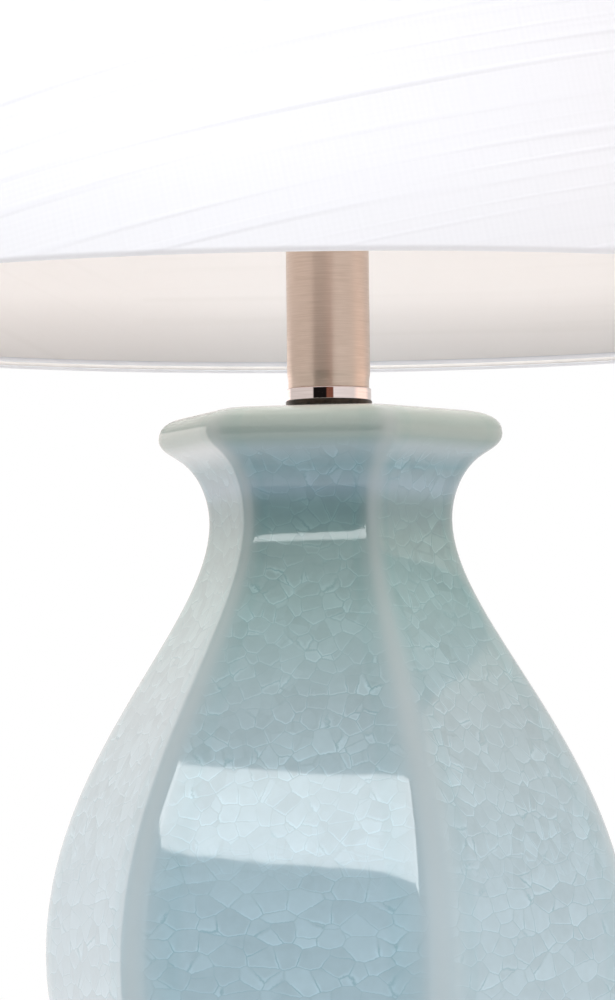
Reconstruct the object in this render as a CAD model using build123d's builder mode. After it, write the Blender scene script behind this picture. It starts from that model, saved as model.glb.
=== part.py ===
"""A hexagonal ginger jar table lamp: glazed jar, nickel neck, socket, harp, linen drum shade.

Millimetres. Z is up, the lamp stands on z = 0 and its axis is the Z axis. One flat of the jar
faces -Y, the front. The cord inlet is at the foot, at the rear (+Y).
"""

from build123d import *
from math import asin, atan2, cos, degrees, radians, sin
import os

os.makedirs("parts", exist_ok=True)

# ---------------------------------------------------------------- fits
ROD_FIT = 0.1  # radial play of plain holes on the threaded rod and on like cores
RUNNING_FIT = 0.4  # radial play between pieces that turn or slide on each other
SEAT_GAP = 0.3  # play left where a loose piece rests on its seat

# ---------------------------------------------------------------- jar
JAR_HEIGHT = 340.0
JAR_WALL = 8.0
CORNER_SHARE = 0.15  # corner radius of the hexagon, for each mm of half its width across flats
FOOT_WIDTH = 100.0  # all jar widths are across flats
FOOT_RISE = 14.0  # how far the foot goes straight up before it draws in
ANKLE_WIDTH = 88.0
ANKLE_HEIGHT = 32.0  # above the foot
BELLY_WIDTH = 159.6
BELLY_HEIGHT = 173.0  # above the foot
NECK_WIDTH = 66.6
NECK_DEPTH = 35.0  # below the jar's top
LIP_WIDTH = 94.4
LIP_DEPTH = 9.1  # of the widest line of the lip, below the jar's top
LIP_UNDER_WIDTH = 83.6  # where the cove of the neck turns into the lip
LIP_UNDER_DEPTH = 15.5
LIP_UNDER_ANGLE = 35.0
LIP_CROWN_WIDTH = 72.0  # where the lip's roll runs out into the crowned top
LIP_CROWN_DEPTH = 1.9
SEAT_WIDTH = 28.0  # flat top of the jar, under the neck gasket
TOP_THICKNESS = 9.0
LEDGE_HEIGHT = 13.0  # of the ledge that the base plate bears on, above the foot
LEDGE_WIDTH = 5.0
ANKLE_PULL = 52.0  # how far each end of a wall curve keeps to the upright
BELLY_PULL_DOWN = 48.0
BELLY_PULL_UP = 61.0
NECK_PULL = 32.0
LIP_PULL_UNDER = 3.1
LIP_PULL_UP = 4.6
LIP_PULL_IN = 7.0
WALL_SECTION_COUNT = 8  # loft sections for each curve of the wall
LIP_SECTION_COUNT = 7  # for each curve of the lip

# ---------------------------------------------------------------- base
FELT_THICKNESS = 2.0
FELT_INSET = 1.5
BASE_PLATE_THICKNESS = 3.0
BASE_PLATE_PLAY = 0.4
WASHER_RADIUS = 12.0
WASHER_THICKNESS = 1.5
NUT_FLATS = 17.0
NUT_HEIGHT = 6.0
ROD_RADIUS = 5.0
ROD_BORE_RADIUS = 3.5
ROD_END = 1.0  # how far the rod stands past its nut

# ---------------------------------------------------------------- cord inlet
GROMMET_BORE_RADIUS = 3.6
GROMMET_BODY_RADIUS = 5.2
GROMMET_FLANGE_RADIUS = 7.5
GROMMET_FLANGE_THICKNESS = 1.8
SPOT_FACE_RADIUS = 8.2
SPOT_FACE_DEPTH = 1.0

# ---------------------------------------------------------------- neck
GASKET_RADIUS = 13.2
GASKET_THICKNESS = 1.8
RING_RADIUS = 12.95
RING_HEIGHT = 3.6
TUBE_RADIUS = 12.7
TUBE_WALL = 1.2
TUBE_LENGTH = 63.6
TUBE_END_RADIUS = 12.35  # the turned-in end of the tube
TUBE_END_HEIGHT = 2.4
TUBE_TAPER_HEIGHT = 2.4
CAP_RADIUS = 13.6
CAP_THICKNESS = 2.5
CAP_SPIGOT = 3.0

# ---------------------------------------------------------------- harp
SADDLE_SPAN = 56.0  # between the axes of its two posts
SADDLE_WIDTH = 12.0
SADDLE_THICKNESS = 2.0
POST_HEIGHT = 10.0
HARP_WIRE_RADIUS = 2.0
HARP_HEIGHT = 219.5  # from the saddle's top face to the seat for the shade
HARP_WIDTH = 108.0  # between the wire's axes at the widest
HARP_LEG_SPARE = 13.0  # of straight leg, over a sleeve that is slid right up
HARP_WIDE_FROM = 90.0
HARP_WIDE_TO = 158.0
HARP_TOP_SPAN = 46.0
HARP_LEG_BEND = 40.0
HARP_SIDE_BEND = 60.0
HARP_TOP_BEND = 24.0
SLEEVE_WALL = 1.2
SLEEVE_HEIGHT = 15.0
SLEEVE_TRAVEL = 14.0
SEAT_FLANGE_RADIUS = 9.0
SEAT_FLANGE_THICKNESS = 2.0
SEAT_BOSS_RADIUS = 5.5
SEAT_BOSS_BELOW = 2.5  # below the harp wire
SEAT_BOSS_ABOVE = 1.0  # between the wire and the flange
STUD_RADIUS = 3.1
STUD_HEIGHT = 14.0

# ---------------------------------------------------------------- socket and switch
LOCK_NUT_FLATS = 16.0
LOCK_NUT_HEIGHT = 3.0
SOCKET_CAP_HEIGHT = 15.0
SOCKET_CAP_WALL = 0.9
SOCKET_HUB_RADIUS = 8.0
SOCKET_HUB_HEIGHT = 5.0
SOCKET_SHELL_RADIUS = 17.0
SOCKET_SHELL_WALL = 0.7
SOCKET_HEIGHT = 57.5  # whole socket, over cap and shell
SHELL_LAP = 4.0  # how far the shell stands in its cap
LINER_WALL = 0.9
BLOCK_RADIUS = 11.5
BLOCK_FLATS = 20.0
BLOCK_HEIGHT = 14.0
DECK_THICKNESS = 3.0
SCREW_SHELL_RADIUS = 13.4  # inside
SCREW_SHELL_WALL = 0.5
SCREW_SHELL_HEIGHT = 26.0
SCREW_SHELL_OPENING = 6.5
CENTRE_CONTACT_RADIUS = 3.5
CENTRE_CONTACT_HEIGHT = 2.5
TERMINAL_RADIUS = 2.6
TERMINAL_HEAD = 1.6
TERMINAL_SHANK_RADIUS = 1.5
TERMINAL_DEPTH = 4.0
TERMINAL_HEIGHT = 3.5  # above the bottom of the switch block
SET_SCREW_RADIUS = 1.6
SET_SCREW_HEAD = 1.5  # how far it stands out of the hub
KNOB_HEIGHT = 10.0  # of its axis, above the bottom of the switch block
KNOB_SHAFT_RADIUS = 1.75
KNOB_SHAFT_DEPTH = 7.0  # in the switch block
KNOB_STAND_OFF = 2.0
KNOB_LENGTH = 12.0
KNOB_RADIUS = 4.6
KNOB_RIBS = 12
KNOB_RIB_RADIUS = 0.6
KNOB_EDGE = 1.2  # depth of the tapered end
KNOB_END_TAPER = 30.0

# ---------------------------------------------------------------- bulb
BULB_LENGTH = 108.0
BULB_RADIUS = 30.0
BULB_SHOULDER_ANGLE = 25.0  # where the ball of the bulb runs out, below its widest circle
BULB_GLASS = 0.8
BULB_CAP_RADIUS = 13.0
BULB_CAP_WALL = 0.5
BULB_CAP_HEIGHT = 22.0
BULB_CORE_RADIUS = 10.0
BULB_CORE_SLOPE_HEIGHT = 4.5
BULB_CORE_RIM = 2.0
BULB_BUTTON_RADIUS = 3.0
BULB_STEM_RADIUS = 4.0
BULB_STEM_HEIGHT = 4.0

# ---------------------------------------------------------------- shade
SHADE_HEIGHT = 280.0
SHADE_BOTTOM_RADIUS = 197.0
SHADE_TOP_RADIUS = 178.0
SPIDER_RECESS = 13.2  # of the harp's seat below the top of the shade
FABRIC_THICKNESS = 0.4
LINER_THICKNESS = 0.4
GLUE_THICKNESS = 0.05
RING_WIRE_RADIUS = 0.9
WRAP_PLAY = 0.2
WRAP_ANGLE = 160.0  # how far the fabric goes round each ring
LINER_MARGIN = 2.5  # between the edge of the liner and the axis of each ring
HUB_RADIUS = 12.7
HUB_THICKNESS = 2.0
ARM_RADIUS = 1.4
ARM_COUNT = 3
ARM_BEND = 12.0
ARM_RISE_RUN = 10.0  # how far from the ring an arm starts to rise

# ---------------------------------------------------------------- finial
FINIAL_HEIGHT = 30.0
FINIAL_BASE_RADIUS = 9.0
FINIAL_BASE_HEIGHT = 2.0
FINIAL_NECK_RADIUS = 6.6
FINIAL_NECK_HEIGHT = 8.0
FINIAL_BALL_RADIUS = 9.5
FINIAL_BORE_SPARE = 1.0  # of the blind bore, past the end of the stud
INSERT_RADIUS = 4.6
INSERT_LENGTH = 9.0

# ---------------------------------------------------------------- levels
jar_foot = FELT_THICKNESS
jar_top = jar_foot + JAR_HEIGHT
ledge = jar_foot + LEDGE_HEIGHT
gasket_top = jar_top + GASKET_THICKNESS
ring_top = gasket_top + RING_HEIGHT
tube_top = ring_top + TUBE_LENGTH
cap_top = tube_top + CAP_THICKNESS
saddle_top = cap_top + SADDLE_THICKNESS
socket_foot = saddle_top + LOCK_NUT_HEIGHT
socket_top = socket_foot + SOCKET_HEIGHT
hub_seat = saddle_top + HARP_HEIGHT
hub_top = hub_seat + HUB_THICKNESS
shade_top = hub_seat + SPIDER_RECESS
shade_bottom = shade_top - SHADE_HEIGHT

# ================================================================ jar


def rounded_hexagon(half_width):
    """Draw a hexagon with soft corners, flats to front and rear, in the sketch that is open."""
    RegularPolygon(half_width, 6, major_radius=False)
    fillet(vertices(), CORNER_SHARE * half_width)


def points_along(curve, count):
    """Give evenly spaced points of a curve, both ends included."""
    return [curve @ (n / (count - 1)) for n in range(count)]


# The wall's outline: X is half the width across flats, Y the height.
ankle = jar_foot + ANKLE_HEIGHT
belly = jar_foot + BELLY_HEIGHT
neck = jar_top - NECK_DEPTH
lip_under = jar_top - LIP_UNDER_DEPTH
foot_straight = jar_foot + FOOT_RISE
lip_widest = jar_top - LIP_DEPTH
lip_crown = jar_top - LIP_CROWN_DEPTH
crown_slope = 2 * LIP_CROWN_DEPTH / (LIP_CROWN_WIDTH - SEAT_WIDTH)
under_run = cos(radians(LIP_UNDER_ANGLE))
under_rise = sin(radians(LIP_UNDER_ANGLE))
with BuildLine() as wall_outline:
    foot_curve = Bezier(
        (FOOT_WIDTH / 2, jar_foot),
        (FOOT_WIDTH / 2, foot_straight),
        (ANKLE_WIDTH / 2, ankle - FOOT_RISE),
        (ANKLE_WIDTH / 2, ankle),
    )
    belly_curve = Bezier(
        (ANKLE_WIDTH / 2, ankle),
        (ANKLE_WIDTH / 2, ankle + ANKLE_PULL),
        (BELLY_WIDTH / 2, belly - BELLY_PULL_DOWN),
        (BELLY_WIDTH / 2, belly),
    )
    shoulder_curve = Bezier(
        (BELLY_WIDTH / 2, belly),
        (BELLY_WIDTH / 2, belly + BELLY_PULL_UP),
        (NECK_WIDTH / 2, neck - NECK_PULL),
        (NECK_WIDTH / 2, neck),
    )
    cove_curve = Spline(
        (NECK_WIDTH / 2, neck),
        (LIP_UNDER_WIDTH / 2, lip_under),
        tangents=[(0, 1), (under_run, under_rise)],
    )
    under_curve = Bezier(
        (LIP_UNDER_WIDTH / 2, lip_under),
        (LIP_UNDER_WIDTH / 2 + LIP_PULL_UNDER * under_run, lip_under + LIP_PULL_UNDER * under_rise),
        (LIP_WIDTH / 2, lip_widest - LIP_PULL_UNDER),
        (LIP_WIDTH / 2, lip_widest),
    )
    roll_curve = Bezier(
        (LIP_WIDTH / 2, lip_widest),
        (LIP_WIDTH / 2, lip_widest + LIP_PULL_UP),
        (LIP_CROWN_WIDTH / 2 + LIP_PULL_IN, lip_crown - LIP_PULL_IN * crown_slope),
        (LIP_CROWN_WIDTH / 2, lip_crown),
    )

wall_points = points_along(foot_curve, WALL_SECTION_COUNT)
wall_points += points_along(belly_curve, WALL_SECTION_COUNT)[1:]
wall_points += points_along(shoulder_curve, WALL_SECTION_COUNT)[1:]
wall_points += points_along(cove_curve, WALL_SECTION_COUNT)[1:]
lip_points = points_along(under_curve, LIP_SECTION_COUNT)
lip_points += points_along(roll_curve, LIP_SECTION_COUNT)[1:]
crown_points = [lip_points[-1], Vector(SEAT_WIDTH / 2, jar_top)]

inner_ankle = ANKLE_WIDTH / 2 - JAR_WALL
recess_half_width = inner_ankle + LEDGE_WIDTH
cavity_top = jar_top - TOP_THICKNESS
cavity_points = [point for point in wall_points if ankle <= point.Y < neck]
spot_face = ANKLE_WIDTH / 2 - SPOT_FACE_DEPTH
inner_spot_face = inner_ankle + SPOT_FACE_DEPTH
beyond_wall = 2 * JAR_WALL  # a cut that clears the wall

with BuildPart() as jar_body:
    for point in wall_points:
        with BuildSketch(Plane.XY.offset(point.Y)):
            rounded_hexagon(point.X)
    loft()
    for point in lip_points:
        with BuildSketch(Plane.XY.offset(point.Y)):
            rounded_hexagon(point.X)
    loft()
    for point in crown_points:
        with BuildSketch(Plane.XY.offset(point.Y)):
            rounded_hexagon(point.X)
    loft(ruled=True)
    # the hollow inside, from the ledge up to the thick top
    with BuildSketch(Plane.XY.offset(ledge)):
        rounded_hexagon(inner_ankle)
    for point in cavity_points:
        with BuildSketch(Plane.XY.offset(point.Y)):
            rounded_hexagon(point.X - JAR_WALL)
    with BuildSketch(Plane.XY.offset(cavity_top)):
        rounded_hexagon(cavity_points[-1].X - JAR_WALL)
    loft(mode=Mode.SUBTRACT)
    # the recess for the base plate, open below
    with BuildSketch(Plane.XY.offset(jar_foot)):
        rounded_hexagon(recess_half_width)
    extrude(amount=LEDGE_HEIGHT, mode=Mode.SUBTRACT)
    # the hole for the rod
    with BuildSketch(Plane.XY.offset(cavity_top - TOP_THICKNESS)):
        Circle(ROD_RADIUS + RUNNING_FIT)
    extrude(amount=3 * TOP_THICKNESS, mode=Mode.SUBTRACT)
    # the cord hole through the rear wall, with a flat seat for the grommet on both faces
    with BuildSketch(Plane.XZ.offset(-(inner_spot_face - beyond_wall))):
        with Locations((0, ankle)):
            Circle(SPOT_FACE_RADIUS)
    extrude(amount=-beyond_wall, mode=Mode.SUBTRACT)
    with BuildSketch(Plane.XZ.offset(-inner_spot_face)):
        with Locations((0, ankle)):
            Circle(GROMMET_BODY_RADIUS + ROD_FIT)
    extrude(amount=-beyond_wall, mode=Mode.SUBTRACT)
    with BuildSketch(Plane.XZ.offset(-spot_face)):
        with Locations((0, ankle)):
            Circle(SPOT_FACE_RADIUS)
    extrude(amount=-beyond_wall, mode=Mode.SUBTRACT)
jar_body.part.label = "jar_body"
export_step(jar_body.part, "parts/jar_body.step")

# ================================================================ base and cord inlet

with BuildPart() as felt_pad:
    with BuildSketch():
        rounded_hexagon(FOOT_WIDTH / 2 - FELT_INSET)
    extrude(amount=FELT_THICKNESS)
felt_pad.part.label = "felt_pad"
export_step(felt_pad.part, "parts/felt_pad.step")

plate_bottom = ledge - BASE_PLATE_THICKNESS
washer_bottom = plate_bottom - WASHER_THICKNESS
nut_bottom = washer_bottom - NUT_HEIGHT

with BuildPart() as base_plate:
    with BuildSketch(Plane.XY.offset(plate_bottom)):
        rounded_hexagon(recess_half_width - BASE_PLATE_PLAY)
        Circle(ROD_RADIUS + ROD_FIT, mode=Mode.SUBTRACT)
    extrude(amount=BASE_PLATE_THICKNESS)
base_plate.part.label = "base_plate"
export_step(base_plate.part, "parts/base_plate.step")

with BuildPart() as base_washer:
    with BuildSketch(Plane.XY.offset(washer_bottom)):
        Circle(WASHER_RADIUS)
        Circle(ROD_RADIUS + ROD_FIT, mode=Mode.SUBTRACT)
    extrude(amount=WASHER_THICKNESS)
base_washer.part.label = "base_washer"
export_step(base_washer.part, "parts/base_washer.step")

with BuildPart() as base_nut:
    with BuildSketch(Plane.XY.offset(nut_bottom)):
        RegularPolygon(NUT_FLATS / 2, 6, major_radius=False)
        Circle(ROD_RADIUS + ROD_FIT, mode=Mode.SUBTRACT)
    extrude(amount=NUT_HEIGHT)
base_nut.part.label = "base_nut"
export_step(base_nut.part, "parts/base_nut.step")

rod_bottom = nut_bottom - ROD_END
rod_top = socket_foot + SOCKET_HUB_HEIGHT
with BuildPart() as threaded_rod:
    with BuildSketch(Plane.XY.offset(rod_bottom)):
        Circle(ROD_RADIUS)
        Circle(ROD_BORE_RADIUS, mode=Mode.SUBTRACT)
    extrude(amount=rod_top - rod_bottom)
threaded_rod.part.label = "threaded_rod"
export_step(threaded_rod.part, "parts/threaded_rod.step")

# The grommet lies along Y: its outline is drawn from the axis outwards and turned about it.
grommet_axis = Axis((0, 0, ankle), (0, 1, 0))
with BuildPart() as cord_grommet:
    with BuildSketch(Plane.YZ):
        with BuildLine():
            Polyline(
                (inner_spot_face - GROMMET_FLANGE_THICKNESS, ankle + GROMMET_BORE_RADIUS),
                (spot_face + GROMMET_FLANGE_THICKNESS, ankle + GROMMET_BORE_RADIUS),
                (spot_face + GROMMET_FLANGE_THICKNESS, ankle + GROMMET_FLANGE_RADIUS),
                (spot_face, ankle + GROMMET_FLANGE_RADIUS),
                (spot_face, ankle + GROMMET_BODY_RADIUS),
                (inner_spot_face, ankle + GROMMET_BODY_RADIUS),
                (inner_spot_face, ankle + GROMMET_FLANGE_RADIUS),
                (inner_spot_face - GROMMET_FLANGE_THICKNESS, ankle + GROMMET_FLANGE_RADIUS),
                close=True,
            )
        make_face()
    revolve(axis=grommet_axis)
cord_grommet.part.label = "cord_grommet"
export_step(cord_grommet.part, "parts/cord_grommet.step")

# ================================================================ neck

with BuildPart() as neck_gasket:
    with BuildSketch(Plane.XY.offset(jar_top)):
        Circle(GASKET_RADIUS)
        Circle(ROD_RADIUS + ROD_FIT, mode=Mode.SUBTRACT)
    extrude(amount=GASKET_THICKNESS)
neck_gasket.part.label = "neck_gasket"
export_step(neck_gasket.part, "parts/neck_gasket.step")

with BuildPart() as neck_ring:
    with BuildSketch(Plane.XY.offset(gasket_top)):
        Circle(RING_RADIUS)
        Circle(ROD_RADIUS + ROD_FIT, mode=Mode.SUBTRACT)
    extrude(amount=RING_HEIGHT)
neck_ring.part.label = "neck_ring"
export_step(neck_ring.part, "parts/neck_ring.step")

taper_bottom = ring_top + TUBE_END_HEIGHT
taper_top = taper_bottom + TUBE_TAPER_HEIGHT
with BuildPart() as neck_tube:
    with BuildSketch(Plane.XZ):
        with BuildLine():
            Polyline(
                (TUBE_END_RADIUS - TUBE_WALL, ring_top),
                (TUBE_END_RADIUS, ring_top),
                (TUBE_END_RADIUS, taper_bottom),
                (TUBE_RADIUS, taper_top),
                (TUBE_RADIUS, tube_top),
                (TUBE_RADIUS - TUBE_WALL, tube_top),
                (TUBE_RADIUS - TUBE_WALL, taper_top),
                (TUBE_END_RADIUS - TUBE_WALL, taper_bottom),
                close=True,
            )
        make_face()
    revolve(axis=Axis.Z)
neck_tube.part.label = "neck_tube"
export_step(neck_tube.part, "parts/neck_tube.step")

with BuildPart() as neck_cap:
    with BuildSketch(Plane.XY.offset(tube_top)):
        Circle(CAP_RADIUS)
    extrude(amount=CAP_THICKNESS)
    fillet(neck_cap.edges().group_by(Axis.Z)[-1], CAP_THICKNESS / 3)
    with BuildSketch(Plane.XY.offset(tube_top)):
        Circle(TUBE_RADIUS - TUBE_WALL - ROD_FIT)
    extrude(amount=-CAP_SPIGOT)
    with BuildSketch(Plane.XY.offset(tube_top - CAP_SPIGOT)):
        Circle(ROD_RADIUS + ROD_FIT)
    extrude(amount=CAP_SPIGOT + CAP_THICKNESS, mode=Mode.SUBTRACT)
neck_cap.part.label = "neck_cap"
export_step(neck_cap.part, "parts/neck_cap.step")

# ================================================================ harp

half_span = SADDLE_SPAN / 2
post_top = saddle_top + POST_HEIGHT
with BuildPart() as harp_saddle:
    with BuildSketch(Plane.XY.offset(cap_top)):
        SlotCenterToCenter(SADDLE_SPAN, SADDLE_WIDTH)
        Circle(ROD_RADIUS + ROD_FIT, mode=Mode.SUBTRACT)
    extrude(amount=SADDLE_THICKNESS)
    with BuildSketch(Plane.XY.offset(saddle_top)):
        with Locations((-half_span, 0), (half_span, 0)):
            Circle(HARP_WIRE_RADIUS)
    extrude(amount=POST_HEIGHT)
harp_saddle.part.label = "harp_saddle"
export_step(harp_saddle.part, "parts/harp_saddle.step")

wire_top = hub_seat - SEAT_FLANGE_THICKNESS - SEAT_BOSS_ABOVE - HARP_WIRE_RADIUS
leg_knee = saddle_top + SEAT_GAP + SLEEVE_HEIGHT + SLEEVE_TRAVEL + HARP_LEG_SPARE
with BuildPart() as harp_wire:
    with BuildLine(Plane.XZ) as harp_path:
        FilletPolyline(
            (-half_span, post_top),
            (-half_span, leg_knee),
            (-HARP_WIDTH / 2, saddle_top + HARP_WIDE_FROM),
            (-HARP_WIDTH / 2, saddle_top + HARP_WIDE_TO),
            (-HARP_TOP_SPAN / 2, wire_top),
            (HARP_TOP_SPAN / 2, wire_top),
            (HARP_WIDTH / 2, saddle_top + HARP_WIDE_TO),
            (HARP_WIDTH / 2, saddle_top + HARP_WIDE_FROM),
            (half_span, leg_knee),
            (half_span, post_top),
            radius=[
                HARP_LEG_BEND,
                HARP_SIDE_BEND,
                HARP_SIDE_BEND,
                HARP_TOP_BEND,
                HARP_TOP_BEND,
                HARP_SIDE_BEND,
                HARP_SIDE_BEND,
                HARP_LEG_BEND,
            ],
        )
    with BuildSketch(Plane.XY.offset(post_top)):
        with Locations((-half_span, 0)):
            Circle(HARP_WIRE_RADIUS)
    sweep(path=harp_path.wires()[0])
harp_wire.part.label = "harp_wire"
export_step(harp_wire.part, "parts/harp_wire.step")

with BuildPart() as harp_stud:
    with BuildSketch(Plane.XY.offset(wire_top - HARP_WIRE_RADIUS - SEAT_BOSS_BELOW)):
        Circle(SEAT_BOSS_RADIUS)
    extrude(amount=SEAT_BOSS_BELOW + 2 * HARP_WIRE_RADIUS + SEAT_BOSS_ABOVE)
    with BuildSketch(Plane.XY.offset(hub_seat - SEAT_FLANGE_THICKNESS)):
        Circle(SEAT_FLANGE_RADIUS)
    extrude(amount=SEAT_FLANGE_THICKNESS)
    with BuildSketch(Plane.XY.offset(hub_seat)):
        Circle(STUD_RADIUS)
    extrude(amount=STUD_HEIGHT)
    with BuildSketch(Plane.YZ.offset(-SEAT_FLANGE_RADIUS)):
        with Locations((0, wire_top)):
            Circle(HARP_WIRE_RADIUS)
    extrude(amount=2 * SEAT_FLANGE_RADIUS, mode=Mode.SUBTRACT)
harp_stud.part.label = "harp_stud"
export_step(harp_stud.part, "parts/harp_stud.step")


def make_sleeve(x):
    """Make the thimble that slides down a leg of the harp and over its post."""
    with BuildPart() as sleeve:
        with BuildSketch(Plane.XY.offset(saddle_top + SEAT_GAP)):
            with Locations((x, 0)):
                Circle(HARP_WIRE_RADIUS + RUNNING_FIT + SLEEVE_WALL)
                Circle(HARP_WIRE_RADIUS + RUNNING_FIT, mode=Mode.SUBTRACT)
        extrude(amount=SLEEVE_HEIGHT)
    return sleeve.part


harp_sleeve_left = make_sleeve(-half_span)
harp_sleeve_left.label = "harp_sleeve_left"
export_step(harp_sleeve_left, "parts/harp_sleeve_left.step")

harp_sleeve_right = make_sleeve(half_span)
harp_sleeve_right.label = "harp_sleeve_right"
export_step(harp_sleeve_right, "parts/harp_sleeve_right.step")

# ================================================================ socket

with BuildPart() as saddle_nut:
    with BuildSketch(Plane.XY.offset(saddle_top)):
        RegularPolygon(LOCK_NUT_FLATS / 2, 6, major_radius=False)
        Circle(ROD_RADIUS + ROD_FIT, mode=Mode.SUBTRACT)
    extrude(amount=LOCK_NUT_HEIGHT)
saddle_nut.part.label = "saddle_nut"
export_step(saddle_nut.part, "parts/saddle_nut.step")

cap_outer = SOCKET_SHELL_RADIUS + ROD_FIT + SOCKET_CAP_WALL
hub_top_of_cap = socket_foot + SOCKET_HUB_HEIGHT
socket_cap_top = socket_foot + SOCKET_CAP_HEIGHT
shell_bottom = socket_cap_top - SHELL_LAP
with BuildPart() as socket_cap:
    with BuildSketch(Plane.XZ):
        with BuildLine():
            Line((ROD_RADIUS + ROD_FIT, socket_foot), (SOCKET_HUB_RADIUS, socket_foot))
            Spline(
                (SOCKET_HUB_RADIUS, socket_foot),
                (cap_outer, shell_bottom),
                tangents=[(1, 0.5), (0, 1)],
            )
            Polyline(
                (cap_outer, shell_bottom),
                (cap_outer, socket_cap_top),
                (cap_outer - SOCKET_CAP_WALL, socket_cap_top),
                (cap_outer - SOCKET_CAP_WALL, shell_bottom),
            )
            Spline(
                (cap_outer - SOCKET_CAP_WALL, shell_bottom),
                (SOCKET_HUB_RADIUS, hub_top_of_cap),
                tangents=[(0, -1), (-1, -0.5)],
            )
            Polyline(
                (SOCKET_HUB_RADIUS, hub_top_of_cap),
                (ROD_RADIUS + ROD_FIT, hub_top_of_cap),
                (ROD_RADIUS + ROD_FIT, socket_foot),
            )
        make_face()
    revolve(axis=Axis.Z)
    with BuildSketch(Plane.YZ):
        with Locations((0, socket_foot + SOCKET_HUB_HEIGHT / 2)):
            Circle(SET_SCREW_RADIUS)
    extrude(amount=cap_outer, mode=Mode.SUBTRACT)
socket_cap.part.label = "socket_cap"
export_step(socket_cap.part, "parts/socket_cap.step")

with BuildPart() as set_screw:
    with BuildSketch(Plane.YZ.offset(ROD_RADIUS)):
        with Locations((0, socket_foot + SOCKET_HUB_HEIGHT / 2)):
            Circle(SET_SCREW_RADIUS)
    extrude(amount=SOCKET_HUB_RADIUS - ROD_RADIUS + SET_SCREW_HEAD)
set_screw.part.label = "set_screw"
export_step(set_screw.part, "parts/set_screw.step")

shell_inner = SOCKET_SHELL_RADIUS - SOCKET_SHELL_WALL
liner_outer = shell_inner - ROD_FIT
liner_inner = liner_outer - LINER_WALL
block_bottom = shell_bottom
knob_z = block_bottom + KNOB_HEIGHT
shaft_hole = KNOB_SHAFT_RADIUS + RUNNING_FIT
with BuildPart() as socket_shell:
    with BuildSketch(Plane.XY.offset(shell_bottom)):
        Circle(SOCKET_SHELL_RADIUS)
        Circle(shell_inner, mode=Mode.SUBTRACT)
    extrude(amount=socket_top - shell_bottom)
    with BuildSketch(Plane.XZ):
        with Locations((0, knob_z)):
            Circle(shaft_hole)
    extrude(amount=2 * SOCKET_SHELL_RADIUS, mode=Mode.SUBTRACT)
socket_shell.part.label = "socket_shell"
export_step(socket_shell.part, "parts/socket_shell.step")

with BuildPart() as socket_liner:
    with BuildSketch(Plane.XY.offset(shell_bottom)):
        Circle(liner_outer)
        Circle(liner_inner, mode=Mode.SUBTRACT)
    extrude(amount=socket_top - shell_bottom)
    with BuildSketch(Plane.XZ):
        with Locations((0, knob_z)):
            Circle(shaft_hole)
    extrude(amount=2 * SOCKET_SHELL_RADIUS, mode=Mode.SUBTRACT)
socket_liner.part.label = "socket_liner"
export_step(socket_liner.part, "parts/socket_liner.step")

block_top = block_bottom + BLOCK_HEIGHT
deck_top = block_top + DECK_THICKNESS
terminal_z = block_bottom + TERMINAL_HEIGHT
half_flats = BLOCK_FLATS / 2
terminal_inner = half_flats - TERMINAL_DEPTH
with BuildPart() as socket_block:
    with BuildSketch(Plane.XY.offset(hub_top_of_cap)):
        Circle(SOCKET_HUB_RADIUS)
    extrude(amount=block_bottom - hub_top_of_cap)
    with BuildSketch(Plane.XY.offset(block_bottom)):
        Circle(BLOCK_RADIUS)
        Rectangle(BLOCK_FLATS, 2 * BLOCK_RADIUS, mode=Mode.INTERSECT)
    extrude(amount=BLOCK_HEIGHT)
    with BuildSketch(Plane.XY.offset(block_top)):
        Circle(liner_inner - ROD_FIT)
    extrude(amount=DECK_THICKNESS)
    with BuildSketch(Plane.XZ.offset(BLOCK_RADIUS - KNOB_SHAFT_DEPTH - SEAT_GAP)):
        with Locations((0, knob_z)):
            Circle(shaft_hole)
    extrude(amount=BLOCK_RADIUS, mode=Mode.SUBTRACT)
    with BuildSketch(Plane.YZ.offset(terminal_inner)):
        with Locations((0, terminal_z)):
            Circle(TERMINAL_SHANK_RADIUS + ROD_FIT)
    extrude(amount=BLOCK_RADIUS, mode=Mode.SUBTRACT)
    with BuildSketch(Plane.YZ.offset(-terminal_inner)):
        with Locations((0, terminal_z)):
            Circle(TERMINAL_SHANK_RADIUS + ROD_FIT)
    extrude(amount=-BLOCK_RADIUS, mode=Mode.SUBTRACT)
socket_block.part.label = "socket_block"
export_step(socket_block.part, "parts/socket_block.step")

with BuildPart() as terminal_screws:
    with BuildSketch(Plane.YZ.offset(terminal_inner)):
        with Locations((0, terminal_z)):
            Circle(TERMINAL_SHANK_RADIUS)
    extrude(amount=TERMINAL_DEPTH)
    with BuildSketch(Plane.YZ.offset(half_flats)):
        with Locations((0, terminal_z)):
            Circle(TERMINAL_RADIUS)
    extrude(amount=TERMINAL_HEAD)
    mirror(about=Plane.YZ)
terminal_screws.part.label = "terminal_screws"
export_step(terminal_screws.part, "parts/terminal_screws.step")

with BuildPart() as screw_shell:
    with BuildSketch(Plane.XY.offset(deck_top)):
        Circle(SCREW_SHELL_RADIUS + SCREW_SHELL_WALL)
        Circle(SCREW_SHELL_OPENING, mode=Mode.SUBTRACT)
    extrude(amount=SCREW_SHELL_WALL)
    with BuildSketch(Plane.XY.offset(deck_top)):
        Circle(SCREW_SHELL_RADIUS + SCREW_SHELL_WALL)
        Circle(SCREW_SHELL_RADIUS, mode=Mode.SUBTRACT)
    extrude(amount=SCREW_SHELL_HEIGHT)
screw_shell.part.label = "screw_shell"
export_step(screw_shell.part, "parts/screw_shell.step")

with BuildPart() as centre_contact:
    with BuildSketch(Plane.XY.offset(deck_top)):
        Circle(CENTRE_CONTACT_RADIUS)
    extrude(amount=CENTRE_CONTACT_HEIGHT)
centre_contact.part.label = "centre_contact"
export_step(centre_contact.part, "parts/centre_contact.step")

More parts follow.
